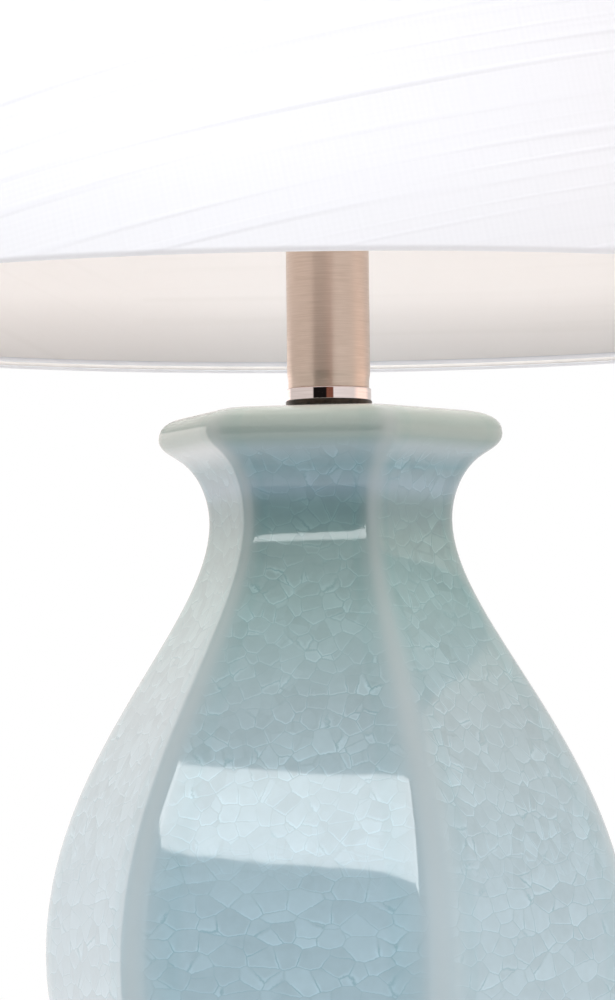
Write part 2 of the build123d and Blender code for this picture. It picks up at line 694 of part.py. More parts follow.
# The knob stands out to the front, square to the harp.
shaft_inner = BLOCK_RADIUS - KNOB_SHAFT_DEPTH
knob_inner = SOCKET_SHELL_RADIUS + KNOB_STAND_OFF
with BuildPart() as switch_shaft:
    with BuildSketch(Plane.XZ.offset(shaft_inner)):
        with Locations((0, knob_z)):
            Circle(KNOB_SHAFT_RADIUS)
    extrude(amount=knob_inner - shaft_inner)
switch_shaft.part.label = "switch_shaft"
export_step(switch_shaft.part, "parts/switch_shaft.step")

with BuildPart() as switch_knob:
    with BuildSketch(Plane.XZ.offset(knob_inner)):
        with Locations((0, knob_z)):
            Circle(KNOB_RADIUS)
            with PolarLocations(KNOB_RADIUS, KNOB_RIBS):
                Circle(KNOB_RIB_RADIUS)
    extrude(amount=KNOB_LENGTH - KNOB_EDGE)
    with BuildSketch(Plane.XZ.offset(knob_inner + KNOB_LENGTH - KNOB_EDGE)):
        with Locations((0, knob_z)):
            Circle(KNOB_RADIUS)
    extrude(amount=KNOB_EDGE, taper=KNOB_END_TAPER)
switch_knob.part.label = "switch_knob"
export_step(switch_knob.part, "parts/switch_knob.step")

# ================================================================ bulb

button_bottom = deck_top + CENTRE_CONTACT_HEIGHT
core_edge = button_bottom + BULB_CORE_SLOPE_HEIGHT
core_top = core_edge + BULB_CORE_RIM
with BuildPart() as bulb_core:
    with BuildSketch(Plane.XZ):
        with BuildLine():
            Polyline(
                (0, button_bottom),
                (BULB_BUTTON_RADIUS, button_bottom),
                (BULB_CORE_RADIUS, core_edge),
                (BULB_CORE_RADIUS, core_top),
                (BULB_STEM_RADIUS, core_top),
                (BULB_STEM_RADIUS, core_top + BULB_STEM_HEIGHT),
                (0, core_top + BULB_STEM_HEIGHT),
                close=True,
            )
        make_face()
    revolve(axis=Axis.Z)
bulb_core.part.label = "bulb_core"
export_step(bulb_core.part, "parts/bulb_core.step")

cap_bottom = core_edge
bulb_cap_top = cap_bottom + BULB_CAP_HEIGHT
with BuildPart() as bulb_cap:
    with BuildSketch(Plane.XY.offset(cap_bottom)):
        Circle(BULB_CAP_RADIUS)
        Circle(BULB_CORE_RADIUS + RUNNING_FIT, mode=Mode.SUBTRACT)
    extrude(amount=BULB_CAP_WALL)
    with BuildSketch(Plane.XY.offset(cap_bottom)):
        Circle(BULB_CAP_RADIUS)
        Circle(BULB_CAP_RADIUS - BULB_CAP_WALL, mode=Mode.SUBTRACT)
    extrude(amount=BULB_CAP_HEIGHT)
bulb_cap.part.label = "bulb_cap"
export_step(bulb_cap.part, "parts/bulb_cap.step")

bulb_centre = button_bottom + BULB_LENGTH - BULB_RADIUS
turn = radians(BULB_SHOULDER_ANGLE)
with BuildPart() as bulb_glass:
    for inset, how in ((0.0, Mode.ADD), (BULB_GLASS, Mode.SUBTRACT)):
        ball = BULB_RADIUS - inset
        foot = (BULB_CAP_RADIUS - inset, bulb_cap_top + inset)
        shoulder = (ball * cos(turn), bulb_centre - ball * sin(turn))
        with BuildSketch(Plane.XZ):
            with BuildLine():
                CenterArc((0, bulb_centre), ball, -BULB_SHOULDER_ANGLE, 90 + BULB_SHOULDER_ANGLE)
                Spline(foot, shoulder, tangents=[(0, 1), (sin(turn), cos(turn))])
                Polyline(foot, (0, bulb_cap_top + inset), (0, bulb_centre + ball))
            make_face()
        revolve(axis=Axis.Z, mode=how)
bulb_glass.part.label = "bulb_glass"
export_step(bulb_glass.part, "parts/bulb_glass.step")

# ================================================================ shade

# The fabric lies on a line parallel to the one through the axes of the two rings.
ring_inset = FABRIC_THICKNESS + WRAP_PLAY + RING_WIRE_RADIUS
bottom_ring_radius = SHADE_BOTTOM_RADIUS - ring_inset
bottom_ring_z = shade_bottom + ring_inset
top_ring_radius = SHADE_TOP_RADIUS - ring_inset
top_ring_z = shade_top - ring_inset
slant = atan2(bottom_ring_radius - top_ring_radius, top_ring_z - bottom_ring_z)
bottom_ring_axis = Vector(bottom_ring_radius, bottom_ring_z)
top_ring_axis = Vector(top_ring_radius, top_ring_z)
outward = Vector(cos(slant), sin(slant))
upward = Vector(-sin(slant), cos(slant))
wrap_radius = RING_WIRE_RADIUS + WRAP_PLAY + FABRIC_THICKNESS / 2
liner_offset = wrap_radius - FABRIC_THICKNESS / 2 - GLUE_THICKNESS - LINER_THICKNESS / 2

with BuildPart() as shade_cover:
    with BuildSketch(Plane.XZ):
        with BuildLine():
            CenterArc(top_ring_axis, wrap_radius, degrees(slant), WRAP_ANGLE)
            Line(top_ring_axis + wrap_radius * outward, bottom_ring_axis + wrap_radius * outward)
            CenterArc(bottom_ring_axis, wrap_radius, degrees(slant), -WRAP_ANGLE)
        trace(line_width=FABRIC_THICKNESS)
    revolve(axis=Axis.Z)
shade_cover.part.label = "shade_cover"
export_step(shade_cover.part, "parts/shade_cover.step")

with BuildPart() as shade_liner:
    with BuildSketch(Plane.XZ):
        with BuildLine():
            Line(
                top_ring_axis + liner_offset * outward - LINER_MARGIN * upward,
                bottom_ring_axis + liner_offset * outward + LINER_MARGIN * upward,
            )
        trace(line_width=LINER_THICKNESS)
    revolve(axis=Axis.Z)
shade_liner.part.label = "shade_liner"
export_step(shade_liner.part, "parts/shade_liner.step")

with BuildPart() as shade_bottom_ring:
    with Locations((0, 0, bottom_ring_z)):
        Torus(bottom_ring_radius, RING_WIRE_RADIUS)
shade_bottom_ring.part.label = "shade_bottom_ring"
export_step(shade_bottom_ring.part, "parts/shade_bottom_ring.step")

with BuildPart() as shade_top_ring:
    with Locations((0, 0, top_ring_z)):
        Torus(top_ring_radius, RING_WIRE_RADIUS)
shade_top_ring.part.label = "shade_top_ring"
export_step(shade_top_ring.part, "parts/shade_top_ring.step")

arm_z = hub_seat + HUB_THICKNESS / 2
arm_knee = Vector(top_ring_radius - ARM_RISE_RUN, arm_z)
arm_rise = (top_ring_axis - arm_knee).normalized()
arm_end = top_ring_axis - RING_WIRE_RADIUS * arm_rise
arm_start = HUB_RADIUS - ARM_RADIUS
with BuildPart() as spider_arm:
    with BuildLine(Plane.XZ) as arm_path:
        FilletPolyline(
            (arm_start, arm_z),
            (arm_knee.X, arm_knee.Y),
            (arm_end.X, arm_end.Y),
            radius=ARM_BEND,
        )
    with BuildSketch(Plane.YZ.offset(arm_start)):
        with Locations((0, arm_z)):
            Circle(ARM_RADIUS)
    sweep(path=arm_path.wires()[0])

with BuildPart() as shade_spider:
    with PolarLocations(0, ARM_COUNT, start_angle=90):
        add(spider_arm.part)
    with BuildSketch(Plane.XY.offset(hub_seat)):
        Circle(HUB_RADIUS)
    extrude(amount=HUB_THICKNESS)
    with BuildSketch(Plane.XY.offset(hub_seat)):
        Circle(STUD_RADIUS + RUNNING_FIT)
    extrude(amount=HUB_THICKNESS, mode=Mode.SUBTRACT)
shade_spider.part.label = "shade_spider"
export_step(shade_spider.part, "parts/shade_spider.step")

# ================================================================ finial

finial_top = hub_top + FINIAL_HEIGHT
ball_z = finial_top - FINIAL_BALL_RADIUS
base_top = hub_top + FINIAL_BASE_HEIGHT
neck_top = hub_top + FINIAL_NECK_HEIGHT
ball_start = asin(FINIAL_NECK_RADIUS / FINIAL_BALL_RADIUS)
ball_bottom = ball_z - FINIAL_BALL_RADIUS * cos(ball_start)
ball_turn = 180 - degrees(ball_start)
stud_bore = STUD_RADIUS + RUNNING_FIT
with BuildPart() as finial_knob:
    with BuildSketch(Plane.XZ):
        with BuildLine():
            Polyline(
                (0, finial_top),
                (0, hub_top),
                (FINIAL_BASE_RADIUS, hub_top),
                (FINIAL_BASE_RADIUS, base_top),
            )
            Spline(
                (FINIAL_BASE_RADIUS, base_top),
                (FINIAL_NECK_RADIUS, neck_top),
                tangents=[(-1, 0.3), (0, 1)],
            )
            Line((FINIAL_NECK_RADIUS, neck_top), (FINIAL_NECK_RADIUS, ball_bottom))
            CenterArc((0, ball_z), FINIAL_BALL_RADIUS, 90 - ball_turn, ball_turn)
        make_face()
    revolve(axis=Axis.Z)
    with BuildSketch(Plane.XY.offset(hub_top)):
        Circle(INSERT_RADIUS + RUNNING_FIT)
    extrude(amount=INSERT_LENGTH + SEAT_GAP, mode=Mode.SUBTRACT)
    with BuildSketch(Plane.XY.offset(hub_top)):
        Circle(stud_bore)
    extrude(amount=STUD_HEIGHT - HUB_THICKNESS + FINIAL_BORE_SPARE, mode=Mode.SUBTRACT)
finial_knob.part.label = "finial_knob"
export_step(finial_knob.part, "parts/finial_knob.step")

with BuildPart() as finial_insert:
    with BuildSketch(Plane.XY.offset(hub_top)):
        Circle(INSERT_RADIUS)
        Circle(stud_bore, mode=Mode.SUBTRACT)
    extrude(amount=INSERT_LENGTH)
finial_insert.part.label = "finial_insert"
export_step(finial_insert.part, "parts/finial_insert.step")
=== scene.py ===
"""A ginger jar table lamp: six-sided celadon crackle jar, satin nickel neck, linen drum shade."""
from math import atan2, cos, pi, radians, sin, tan

import bmesh
import bpy
from mathutils import Matrix, Vector
from mathutils.geometry import interpolate_bezier


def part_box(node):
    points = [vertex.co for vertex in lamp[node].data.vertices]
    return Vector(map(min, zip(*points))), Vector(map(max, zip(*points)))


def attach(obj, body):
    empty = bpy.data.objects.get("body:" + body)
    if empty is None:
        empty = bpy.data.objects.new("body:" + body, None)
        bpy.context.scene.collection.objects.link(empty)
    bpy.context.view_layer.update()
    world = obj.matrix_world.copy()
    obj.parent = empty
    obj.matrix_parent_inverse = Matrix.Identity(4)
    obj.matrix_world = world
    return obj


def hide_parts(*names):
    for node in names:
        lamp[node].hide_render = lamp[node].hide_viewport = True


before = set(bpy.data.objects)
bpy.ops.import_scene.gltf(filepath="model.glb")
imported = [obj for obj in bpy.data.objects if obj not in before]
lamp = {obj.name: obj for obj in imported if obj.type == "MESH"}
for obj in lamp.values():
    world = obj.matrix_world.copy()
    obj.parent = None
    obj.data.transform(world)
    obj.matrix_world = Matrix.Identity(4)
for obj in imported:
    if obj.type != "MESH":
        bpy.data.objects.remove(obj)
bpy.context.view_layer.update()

scene = bpy.context.scene
scene.view_settings.view_transform = "Standard"
mm = 0.001

# -------------------------------- camera
# The camera stands low, a little to the right of the jar's front face, with a long lens. The
# photograph is 615 x 1000 pixels, so the lens is given for 36 mm along its long side.
stand_azimuth, stand_distance, eye_height = radians(10.5), 1.248, 0.2517
lens_mm, film_mm, nearest = 147.4, 36, 0.05
tilt_up, turn_left, lean = radians(2.84), radians(0.315), radians(0.6)


def put(name, data):
    """Put an object into the scene."""
    made = bpy.data.objects.new(name, data)
    scene.collection.objects.link(made)
    return made


camera = put("camera", bpy.data.cameras.new("camera"))
scene.camera = camera
camera.data.sensor_width = film_mm
camera.data.lens = lens_mm
camera.data.clip_start = nearest
camera.matrix_world = (
    Matrix.Translation(
        (stand_distance * sin(stand_azimuth), -stand_distance * cos(stand_azimuth), eye_height)
    )
    @ Matrix.Rotation(stand_azimuth + turn_left, 4, "Z")
    @ Matrix.Rotation(pi / 2 + tilt_up, 4, "X")
    @ Matrix.Rotation(-lean, 4, "Z")
)


# -------------------------------- studio
# A pale sweep stands all round. It is open in front, where the room is dark, with a wooden door
# to the right. Warmer panels stand at both sides, a little behind the lamp. One soft box hangs
# high in front, a little to the left, and a weaker one overhead.
def colour(code):
    """Turn an sRGB hex code into linear red, green, blue and alpha."""
    levels = [int(code[n : n + 2], 16) / 255 for n in (1, 3, 5)]
    return [x / 12.92 if x < 0.04045 else ((x + 0.055) / 1.055) ** 2.4 for x in levels] + [1]


def feed(tree, node, inputs):
    """Set a node's inputs, each from a value, an output, or a node for its first output."""
    for name, value in inputs.items():
        if isinstance(value, bpy.types.Node):
            value = value.outputs[0]
        if isinstance(value, bpy.types.NodeSocket):
            tree.links.new(value, node.inputs[name])
        else:
            node.inputs[name].default_value = value


def add(tree, kind, inputs=None, stops=(), **settings):
    """Add a shader node with its settings, its inputs and, on a ramp, its stops in hex colours."""
    node = tree.nodes.new("ShaderNode" + kind)
    for name, value in settings.items():
        setattr(node, name, value)
    feed(tree, node, inputs or {})
    for _ in stops[2:]:
        node.color_ramp.elements.new(1.0)
    for number, (position, code) in enumerate(stops):
        stop = node.color_ramp.elements[number]
        stop.position, stop.color = position, colour(code)
    return node


# Seen from the lamp, in degrees from the front and to the right: the tones of the room.
room = [
    (-180, "#a9a7a6"), (-152, "#e6dcd8"), (-124, "#e6dcd8"), (-114, "#aca9a7"), (-33.5, "#adaaa8"),
    (-31.5, "#100e0e"), (3.5, "#100e0e"), (5.5, "#5f3c31"), (22, "#5f3c31"), (24, "#b9b8b8"),
    (82, "#b6b4b3"), (98, "#dfccc2"), (128, "#dfccc2"), (148, "#b0adab"), (180, "#a9a7a6"),
]
sweep_level = 2.0
world = bpy.data.worlds.new("studio")
world.use_nodes = True
scene.world = world
sky = world.node_tree
toward = add(sky, "SeparateXYZ", {0: add(sky, "TexCoord").outputs["Generated"]})
back = add(sky, "Math", {0: toward.outputs["Y"], 1: -1.0}, operation="MULTIPLY")
bearing = add(sky, "Math", {0: toward.outputs["X"], 1: back}, operation="ARCTAN2")
around = add(sky, "MapRange", {"Value": bearing, "From Min": -pi, "From Max": pi})
tones = [((degree + 180) / 360, code) for degree, code in room]
surround = add(sky, "ValToRGB", {0: around}, stops=tones)
lit = add(sky, "Background", {"Color": surround, "Strength": sweep_level})
feed(sky, sky.nodes["Background"], {"Color": colour("#ffffff"), "Strength": 1.0})
seen = add(sky, "LightPath").outputs["Is Camera Ray"]
shown = add(sky, "MixShader", {0: seen, 1: lit, 2: sky.nodes["Background"]})
feed(sky, sky.nodes["World Output"], {"Surface": shown})

# The box's light and its image in the glaze are two lamps in one place, a hair apart, so that the
# image can be bright and the shade still keeps its tone.
box_azimuth, box_distance, box_yaw, box_roll = radians(-10.5), 0.70, radians(-26), radians(-14)
box_width, box_height, box_foot = 0.70, 0.84, 0.515
for name, radiance, shine, hair in (
    ("soft_box", 2.05, False, 0.0),
    ("soft_box_shine", 7.2, True, 5 * mm),
):
    box = put(name, bpy.data.lights.new(name, "AREA"))
    box.data.shape = "RECTANGLE"
    box.data.size, box.data.size_y = box_width, box_height
    box.data.energy = radiance * pi * box_width * box_height
    box.visible_camera = False
    box.visible_glossy = shine
    box.visible_diffuse = not shine
    box.matrix_world = (
        Matrix.Rotation(box_azimuth, 4, "Z")
        @ Matrix.Translation((0, hair - box_distance, box_foot + box_height / 2))
        @ Matrix.Rotation(box_yaw, 4, "Z")
        @ Matrix.Rotation(pi / 2, 4, "X")
        @ Matrix.Rotation(box_roll, 4, "Z")
    )

# The box overhead lights the inside of the shade through its top.
overhead_place, overhead_size, overhead_radiance = (0.05, -0.50, 1.45), 1.0, 3.0
overhead = put("overhead_box", bpy.data.lights.new("overhead_box", "AREA"))
overhead.data.shape = "SQUARE"
overhead.data.size = overhead_size
overhead.data.energy = overhead_radiance * pi * overhead_size**2
overhead.visible_camera = overhead.visible_glossy = False
overhead.matrix_world = Matrix.Translation(overhead_place)

floor_radius, floor_fade = 0.56, 0.05
bm = bmesh.new()
bmesh.ops.create_circle(bm, cap_ends=True, segments=96, radius=floor_radius)
floor = put("floor", bpy.data.meshes.new("floor"))
bm.to_mesh(floor.data)
bm.free()


def new_material(name):
    """Start a material; give it with its node tree, its shader and its place on the object."""
    material = bpy.data.materials.new(name)
    material.use_nodes = True
    tree = material.node_tree
    where = add(tree, "TexCoord").outputs["Object"]
    return material, tree, tree.nodes["Principled BSDF"], where


# Matt white paper, faintly mottled every 25 mm. It is lifted to the sweep's white where it is
# seen, and fades out at its edge, so that only the lamp's shadow shows.
paper, tree, shader, where = new_material("white_sweep_paper")
mottle = add(tree, "TexNoise", {"Vector": where, "Scale": 1 / (25 * mm)})
seen = add(tree, "LightPath").outputs["Is Camera Ray"]
lift = 0.16
look = {"Base Color": add(tree, "ValToRGB", {0: mottle}, stops=[(0.3, "#ecebea"), (0.7, "#f0efee")])}
look |= {"Roughness": 0.9, "Emission Color": colour("#ffffff")}
look |= {"Emission Strength": add(tree, "Math", {0: seen, 1: lift}, operation="MULTIPLY")}
feed(tree, shader, look)
rim = {"Value": add(tree, "VectorMath", {0: where}, operation="LENGTH").outputs["Value"]}
rim |= {"From Min": floor_radius - floor_fade, "From Max": floor_radius}
fade = add(tree, "MapRange", rim, interpolation_type="SMOOTHSTEP")
blended = add(tree, "MixShader", {0: fade, 1: shader, 2: add(tree, "BsdfTransparent")})
feed(tree, tree.nodes["Material Output"], {"Surface": blended})
floor.data.materials.append(paper)

# -------------------------------- jar
# The jar is one slip-cast stoneware shell, six-sided with soft corners, open below and with a
# thick top. It is dipped in a celadon glaze that has crazed into plates; over the ridges and the
# lip the glaze has run thin and shows the pale clay. That paleness is also a painted highlight
# along the corners and a painted reflection on the lip's top, and the bands by height hold
# painted shade and painted reflections.
foot, top = (corner.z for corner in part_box("jar_body"))
corner_share, wall = 0.15, 8.0 * mm
foot_width, ankle_width, belly_width = 50.0 * mm, 44.0 * mm, 79.8 * mm
neck_width, under_width, lip_width = 33.3 * mm, 41.8 * mm, 47.2 * mm
crown_width, seat_width, hole_width = 36.0 * mm, 14.0 * mm, 5.35 * mm
ankle, belly, neck = foot + 32 * mm, foot + 173 * mm, top - 35 * mm
under, widest, crown = top - 15.5 * mm, top - 9.1 * mm, top - 1.9 * mm
under_slope = radians(35)
ledge, recess_width, top_thickness = foot + 13 * mm, 41.0 * mm, 9.0 * mm


def bend(outline, leave, arrive, end, steps=9):
    """Carry an outline on along a bezier curve to an end."""
    handles = [Vector(point) for point in (outline[-1], leave, arrive, end)]
    outline += interpolate_bezier(*handles, steps)[1:]


out, up = cos(under_slope), sin(under_slope)
crown_pull, lip_pull, under_pull, cove_pull = 7.0 * mm, 4.6 * mm, 3.1 * mm, 7.1 * mm
neck_pull, over_belly, under_belly, over_ankle = 32 * mm, 61 * mm, 48 * mm, 52 * mm
foot_pull, foot_edge = 14 * mm, 0.8 * mm
# Half the width across the flats, and the height: from the top face down the outside...
outside = [Vector((hole_width, top)), Vector((seat_width, top))]
outside += [outside[1].lerp(Vector((crown_width, crown)), n / 4) for n in (1, 2, 3, 4)]
bend(
    outside, (crown_width + crown_pull, crown - 0.6 * mm), (lip_width, widest + lip_pull),
    (lip_width, widest)
)
bend(
    outside, (lip_width, widest - under_pull),
    (under_width + under_pull * out, under + under_pull * up), (under_width, under)
)
bend(
    outside, (under_width - cove_pull * out, under - cove_pull * up),
    (neck_width, neck + cove_pull), (neck_width, neck), 13
)
bend(
    outside, (neck_width, neck - neck_pull), (belly_width, belly + over_belly),
    (belly_width, belly), 33
)
bend(
    outside, (belly_width, belly - under_belly), (ankle_width, ankle + over_ankle),
    (ankle_width, ankle), 25
)
bend(
    outside, (ankle_width, ankle - foot_pull), (foot_width, foot + foot_pull),
    (foot_width, foot + foot_edge)
)
# ...and back up the inside, a wall's thickness in, to the thick top.
inside = [
    (foot_width - foot_edge, foot), (recess_width + foot_edge, foot),
    (recess_width, foot + foot_edge), (recess_width, ledge), (ankle_width - wall, ledge),
]
inside += [(w - wall, h) for w, h in reversed(outside) if ankle < h < neck and w > neck_width]
inside += [(neck_width - wall, neck), (neck_width - wall, top - top_thickness)]
inside += [(hole_width, top - top_thickness), (hole_width, top)]


def round_off(bm, geom, offset, segments, affect="VERTICES"):
    """Round some corners or edges of a piece."""
    shape = {"offset": offset, "segments": segments, "profile": 0.5}
    bmesh.ops.bevel(bm, geom=geom, affect=affect, material=-1, **shape)


def hexagon(half_width, height):
    """Start a piece with a six-sided outline at a height, two flats facing front and rear."""
    bm = bmesh.new()
    bmesh.ops.create_circle(bm, segments=6, radius=half_width / cos(pi / 6))
    bmesh.ops.rotate(bm, verts=bm.verts, matrix=Matrix.Rotation(pi / 6, 3, "Z"))
    bmesh.ops.translate(bm, verts=bm.verts, vec=(0, 0, height))
    return bm


def six_sides(half_width, height):
    """Start a piece with the jar's outline at a height: a hexagon with rounded corners."""
    bm = hexagon(half_width, height)
    round_off(bm, bm.verts[:] + bm.edges[:], corner_share * half_width * tan(pi / 6), 8)
    return bm


bm = six_sides(hole_width, top)
flats = [edge for edge in bm.edges if edge.calc_length() > hole_width / 2]
bmesh.ops.subdivide_edges(bm, edges=flats, cuts=7)
ring = bm.edges[:]
outline = outside + inside
for (width, height), (next_width, next_height) in zip(outline, outline[1:]):
    made = bmesh.ops.extrude_edge_only(bm, edges=ring)["geom"]
    lip = {item for item in made if isinstance(item, bmesh.types.BMVert)}
    grow = next_width / width
    bmesh.ops.scale(bm, verts=list(lip), vec=(grow, grow, 1))
    bmesh.ops.translate(bm, verts=list(lip), vec=(0, 0, next_height - height))
    edges = [item for item in made if isinstance(item, bmesh.types.BMEdge)]
    ring = [edge for edge in edges if lip.issuperset(edge.verts)]


def weld(bm):
    """Merge the points that meet, and turn the faces outwards."""
    bmesh.ops.remove_doubles(bm, verts=bm.verts, dist=0.001 * mm)
    bmesh.ops.recalc_face_normals(bm, faces=bm.faces)


weld(bm)


def place(name, bm, *materials):
    """Make a smooth-shaded piece of a finished bmesh, with its hard edges kept."""
    mesh = bpy.data.meshes.new(name)
    bm.to_mesh(mesh)
    bm.free()
    mesh.shade_smooth()
    mesh.set_sharp_from_angle(angle=radians(40))
    for material in materials:
        mesh.materials.append(material)
    return put(name, mesh)


def spin_round(bm, steps=96):
    """Spin an outline in the XZ plane round Z into a skin, closed, with its faces outwards."""
    bmesh.ops.spin(
        bm,
        geom=bm.verts[:] + bm.edges[:],
        cent=(0, 0, 0),
        axis=(0, 0, 1),
        angle=2 * pi,
        steps=steps,
        use_merge=True,
    )
    weld(bm)
    return bm


def turn(outline, rounding=0.0, steps=96):
    """Turn an outline of radius and height, its corners rounded; off the axis, it is closed."""
    bm = bmesh.new()
    points = [bm.verts.new((radius, 0, height)) for radius, height in outline]
    closed = outline[0][0] > 0
    for start, end in zip(points, points[1:] + points[:1] * closed):
        bm.edges.new((start, end))
    if rounding:
        corners = [point for point in points if point.co.x > 0]
        round_off(bm, corners, rounding, 3)
        # Each long wall is held straight beside its rounded ends, so that it shades flat.
        for edge in [edge for edge in bm.edges if edge.calc_length() > 4 * rounding]:
            start, end = edge.verts
            share = rounding / edge.calc_length()
            rest, _ = bmesh.utils.edge_split(edge, start, share)
            bmesh.utils.edge_split(edge if end in edge.verts else rest, end, share / (1 - share))
    return spin_round(bm, steps)


def lay_along_y(bm, height, forward=False):
    """Lay a piece made about Z along Y, towards the rear or forward, at a height."""
    bmesh.ops.rotate(bm, verts=bm.verts, matrix=Matrix.Rotation(pi / 2 if forward else -pi / 2, 3, "X"))
    bmesh.ops.translate(bm, verts=bm.verts, vec=(0, 0, height))


def finished_mesh(piece):
    """Give a piece's mesh as its modifiers or its bevel leave it."""
    graph = bpy.context.evaluated_depsgraph_get()
    return bpy.data.meshes.new_from_object(piece.evaluated_get(graph))


def drill(piece, bore):
    """Cut a bore out of a piece."""
    cutter = place("bore", bore)
    cut = piece.modifiers.new("hole", "BOOLEAN")
    cut.object, cut.operation, cut.solver = cutter, "DIFFERENCE", "EXACT"
    finished = finished_mesh(piece)
    piece.modifiers.clear()
    piece.data = finished
    bpy.data.objects.remove(cutter)


# The cord hole is drilled through the rear wall, with a flat seat for the grommet on both faces.
spot_radius, drill_radius, spot_outer, spot_inner = 8.2 * mm, 5.25 * mm, 43.0 * mm, 37.0 * mm
bore = turn(
    [
        (0, spot_inner - wall), (spot_radius, spot_inner - wall), (spot_radius, spot_inner),
        (drill_radius, spot_inner), (drill_radius, spot_outer), (spot_radius, spot_outer),
        (spot_radius, spot_outer + wall), (0, spot_outer + wall),
    ],
    steps=48,
)
lay_along_y(bore, ankle)
jar = place("jar", bm)
drill(jar, bore)

# How near each point is to a ridge: 1 along the corners, 0 over the flats.
ridge_share = 0.14
nearness = jar.data.attributes.new("ridge", "FLOAT", "POINT")
flat_directions = [Vector((cos(turned), sin(turned))) for turned in (pi / 2, pi / 6, -pi / 6)]
for vertex, value in zip(jar.data.vertices, nearness.data):
    reach = sorted(abs(vertex.co.xy.dot(direction)) for direction in flat_directions)
    value.value = max(0.0, 1 - (reach[2] - reach[1]) / (ridge_share * reach[2]))

# Glaze is glass: clear and glossy, with an index of 1.5. The colour lies in its depth.
celadon, tree, shader, where = new_material("celadon_crackle_glaze")
rise = add(tree, "SeparateXYZ", {0: where}).outputs["Z"]
up_the_jar = add(tree, "MapRange", {"Value": rise, "From Min": foot, "From Max": top})
# Millimetres below the top: the glaze pools darker in the neck and thins towards the lip. The
# bands also hold painted light: painted shade in the neck under the lip and the shade, painted
# reflections of the room as the pale and dark rings under the lip, and a painted reflection of
# the shade's inside as the pale top of the lip.
glaze_and_painted_bands = [
    (338, "#adc1c8"), (318, "#abc8d5"), (150, "#abc8d5"), (92, "#a1bac2"), (60, "#95b5b7"),
    (42, "#89a9aa"), (34, "#7a9a9e"), (31, "#7c9ca1"), (26, "#92afbd"), (20, "#84a7b2"),
    (15, "#abc0c9"), (12, "#9bb0ae"), (5, "#afbdb6"), (0, "#d0dad5"),
]
band_stops = [(1 - drop * mm / (top - foot), code) for drop, code in glaze_and_painted_bands]
# The glaze's colour by height, painted shade and painted reflections included.
body = add(tree, "ValToRGB", {0: up_the_jar}, stops=band_stops)

# The plates are about 5 mm wide and rounded above the belly, 6 mm and flatter below it, with
# ragged edges. Each has its own tint, is painted lighter low down as painted shading, and has a
# painted highlight inside its lower edge and a dark crack line round it, darkest at its lower
# edge as painted shade. Pale flakes of this and of a coarser net lie in the depth.
wander = {"Vector": where, "Scale": 1 / (9 * mm), "Detail": 6.0, "Roughness": 0.72}
shake = {0: add(tree, "TexNoise", wander).outputs["Color"], "Scale": 2.2 * mm}
crazed = {0: where, 1: add(tree, "VectorMath", shake, operation="SCALE")}
crazed = add(tree, "VectorMath", crazed, operation="ADD")
wide = add(tree, "Mapping", {"Vector": crazed, "Scale": (0.75, 0.75, 1.15)})
highlight_width, high_side_crack = 0.6 * mm, 0.25
layers = []
for plates, crack, vector in (
    (5.2 * mm, 0.20 * mm, crazed),
    (6.0 * mm, 0.22 * mm, wide),
    (7.0 * mm, 0.20 * mm, crazed),
):
    cells = {"Vector": vector, "Scale": 1 / plates}
    edge = add(tree, "TexVoronoi", cells, feature="DISTANCE_TO_EDGE").outputs["Distance"]
    plate = add(tree, "TexVoronoi", cells, feature="F1")
    tint = add(tree, "SeparateColor", {0: plate.outputs["Color"]})
    # A flake starts a little way in from its plate's edge, and only the paler plates have one.
    inner = {"Value": edge, "From Min": 0.015, "From Max": 0.075}
    inner = add(tree, "MapRange", inner, interpolation_type="SMOOTHSTEP")
    pale = add(tree, "MapRange", {"Value": tint, "From Min": 0.30, "From Max": 0.90})
    flake = add(tree, "Math", {0: inner, 1: pale}, operation="MULTIPLY")
    hair = {"Value": edge, "From Max": crack / plates, "To Min": 1.0, "To Max": 0.0}
    hair = add(tree, "MapRange", hair)
    # The rim is a painted highlight just inside the plate's edge.
    rim = {"Value": edge, "From Min": crack / plates, "From Max": highlight_width / plates}
    rim = add(tree, "MapRange", rim | {"To Min": 1.0, "To Max": 0.0})
    rim = add(tree, "Math", {0: rim, 1: hair}, operation="SUBTRACT")
    offset = {0: vector, 1: plate.outputs["Position"]}
    offset = add(tree, "VectorMath", offset, operation="SUBTRACT")
    below = add(tree, "SeparateXYZ", {0: offset}).outputs["Z"]
    # Painted shading: each plate is lighter towards its lower side.
    slope = add(tree, "MapRange", {"Value": below, "From Min": plates / 3, "From Max": -plates / 3})
    low_side = add(tree, "Math", {0: slope, 1: 2.0}, operation="POWER")
    # The crack line is strongest at the plate's lower edge and faint at its upper edge: painted shade.
    depth = {"Value": slope, "From Min": 0.25, "From Max": 0.7, "To Min": high_side_crack}
    line = add(tree, "Math", {0: hair, 1: add(tree, "MapRange", depth)}, operation="MULTIPLY")
    shine = add(tree, "Math", {0: rim, 1: low_side}, operation="MULTIPLY")
    layers.append({"line": line, "shine": shine, "tint": tint, "slope": slope, "flake": flake})

# Above the belly the cracks are fainter and the flakes and the painted highlights inside the lower edges
# stronger.
upper, lower, coarse = layers
faint = add(tree, "Math", {0: coarse["flake"], 1: 0.8}, operation="MULTIPLY")
upper["flake"] = add(tree, "Math", {0: upper["flake"], 1: faint}, operation="MAXIMUM")
for look, strength in (("flake", 1.4), ("line", 0.8), ("shine", 1.5)):
    upper[look] = add(tree, "Math", {0: upper[look], 1: strength}, operation="MULTIPLY")
change = {"Value": rise, "From Min": belly + 42 * mm, "From Max": belly + 18 * mm}
change = add(tree, "MapRange", change, interpolation_type="SMOOTHSTEP")
net = {look: add(tree, "Mix", {0: change, 2: upper[look], 3: lower[look]}) for look in upper}

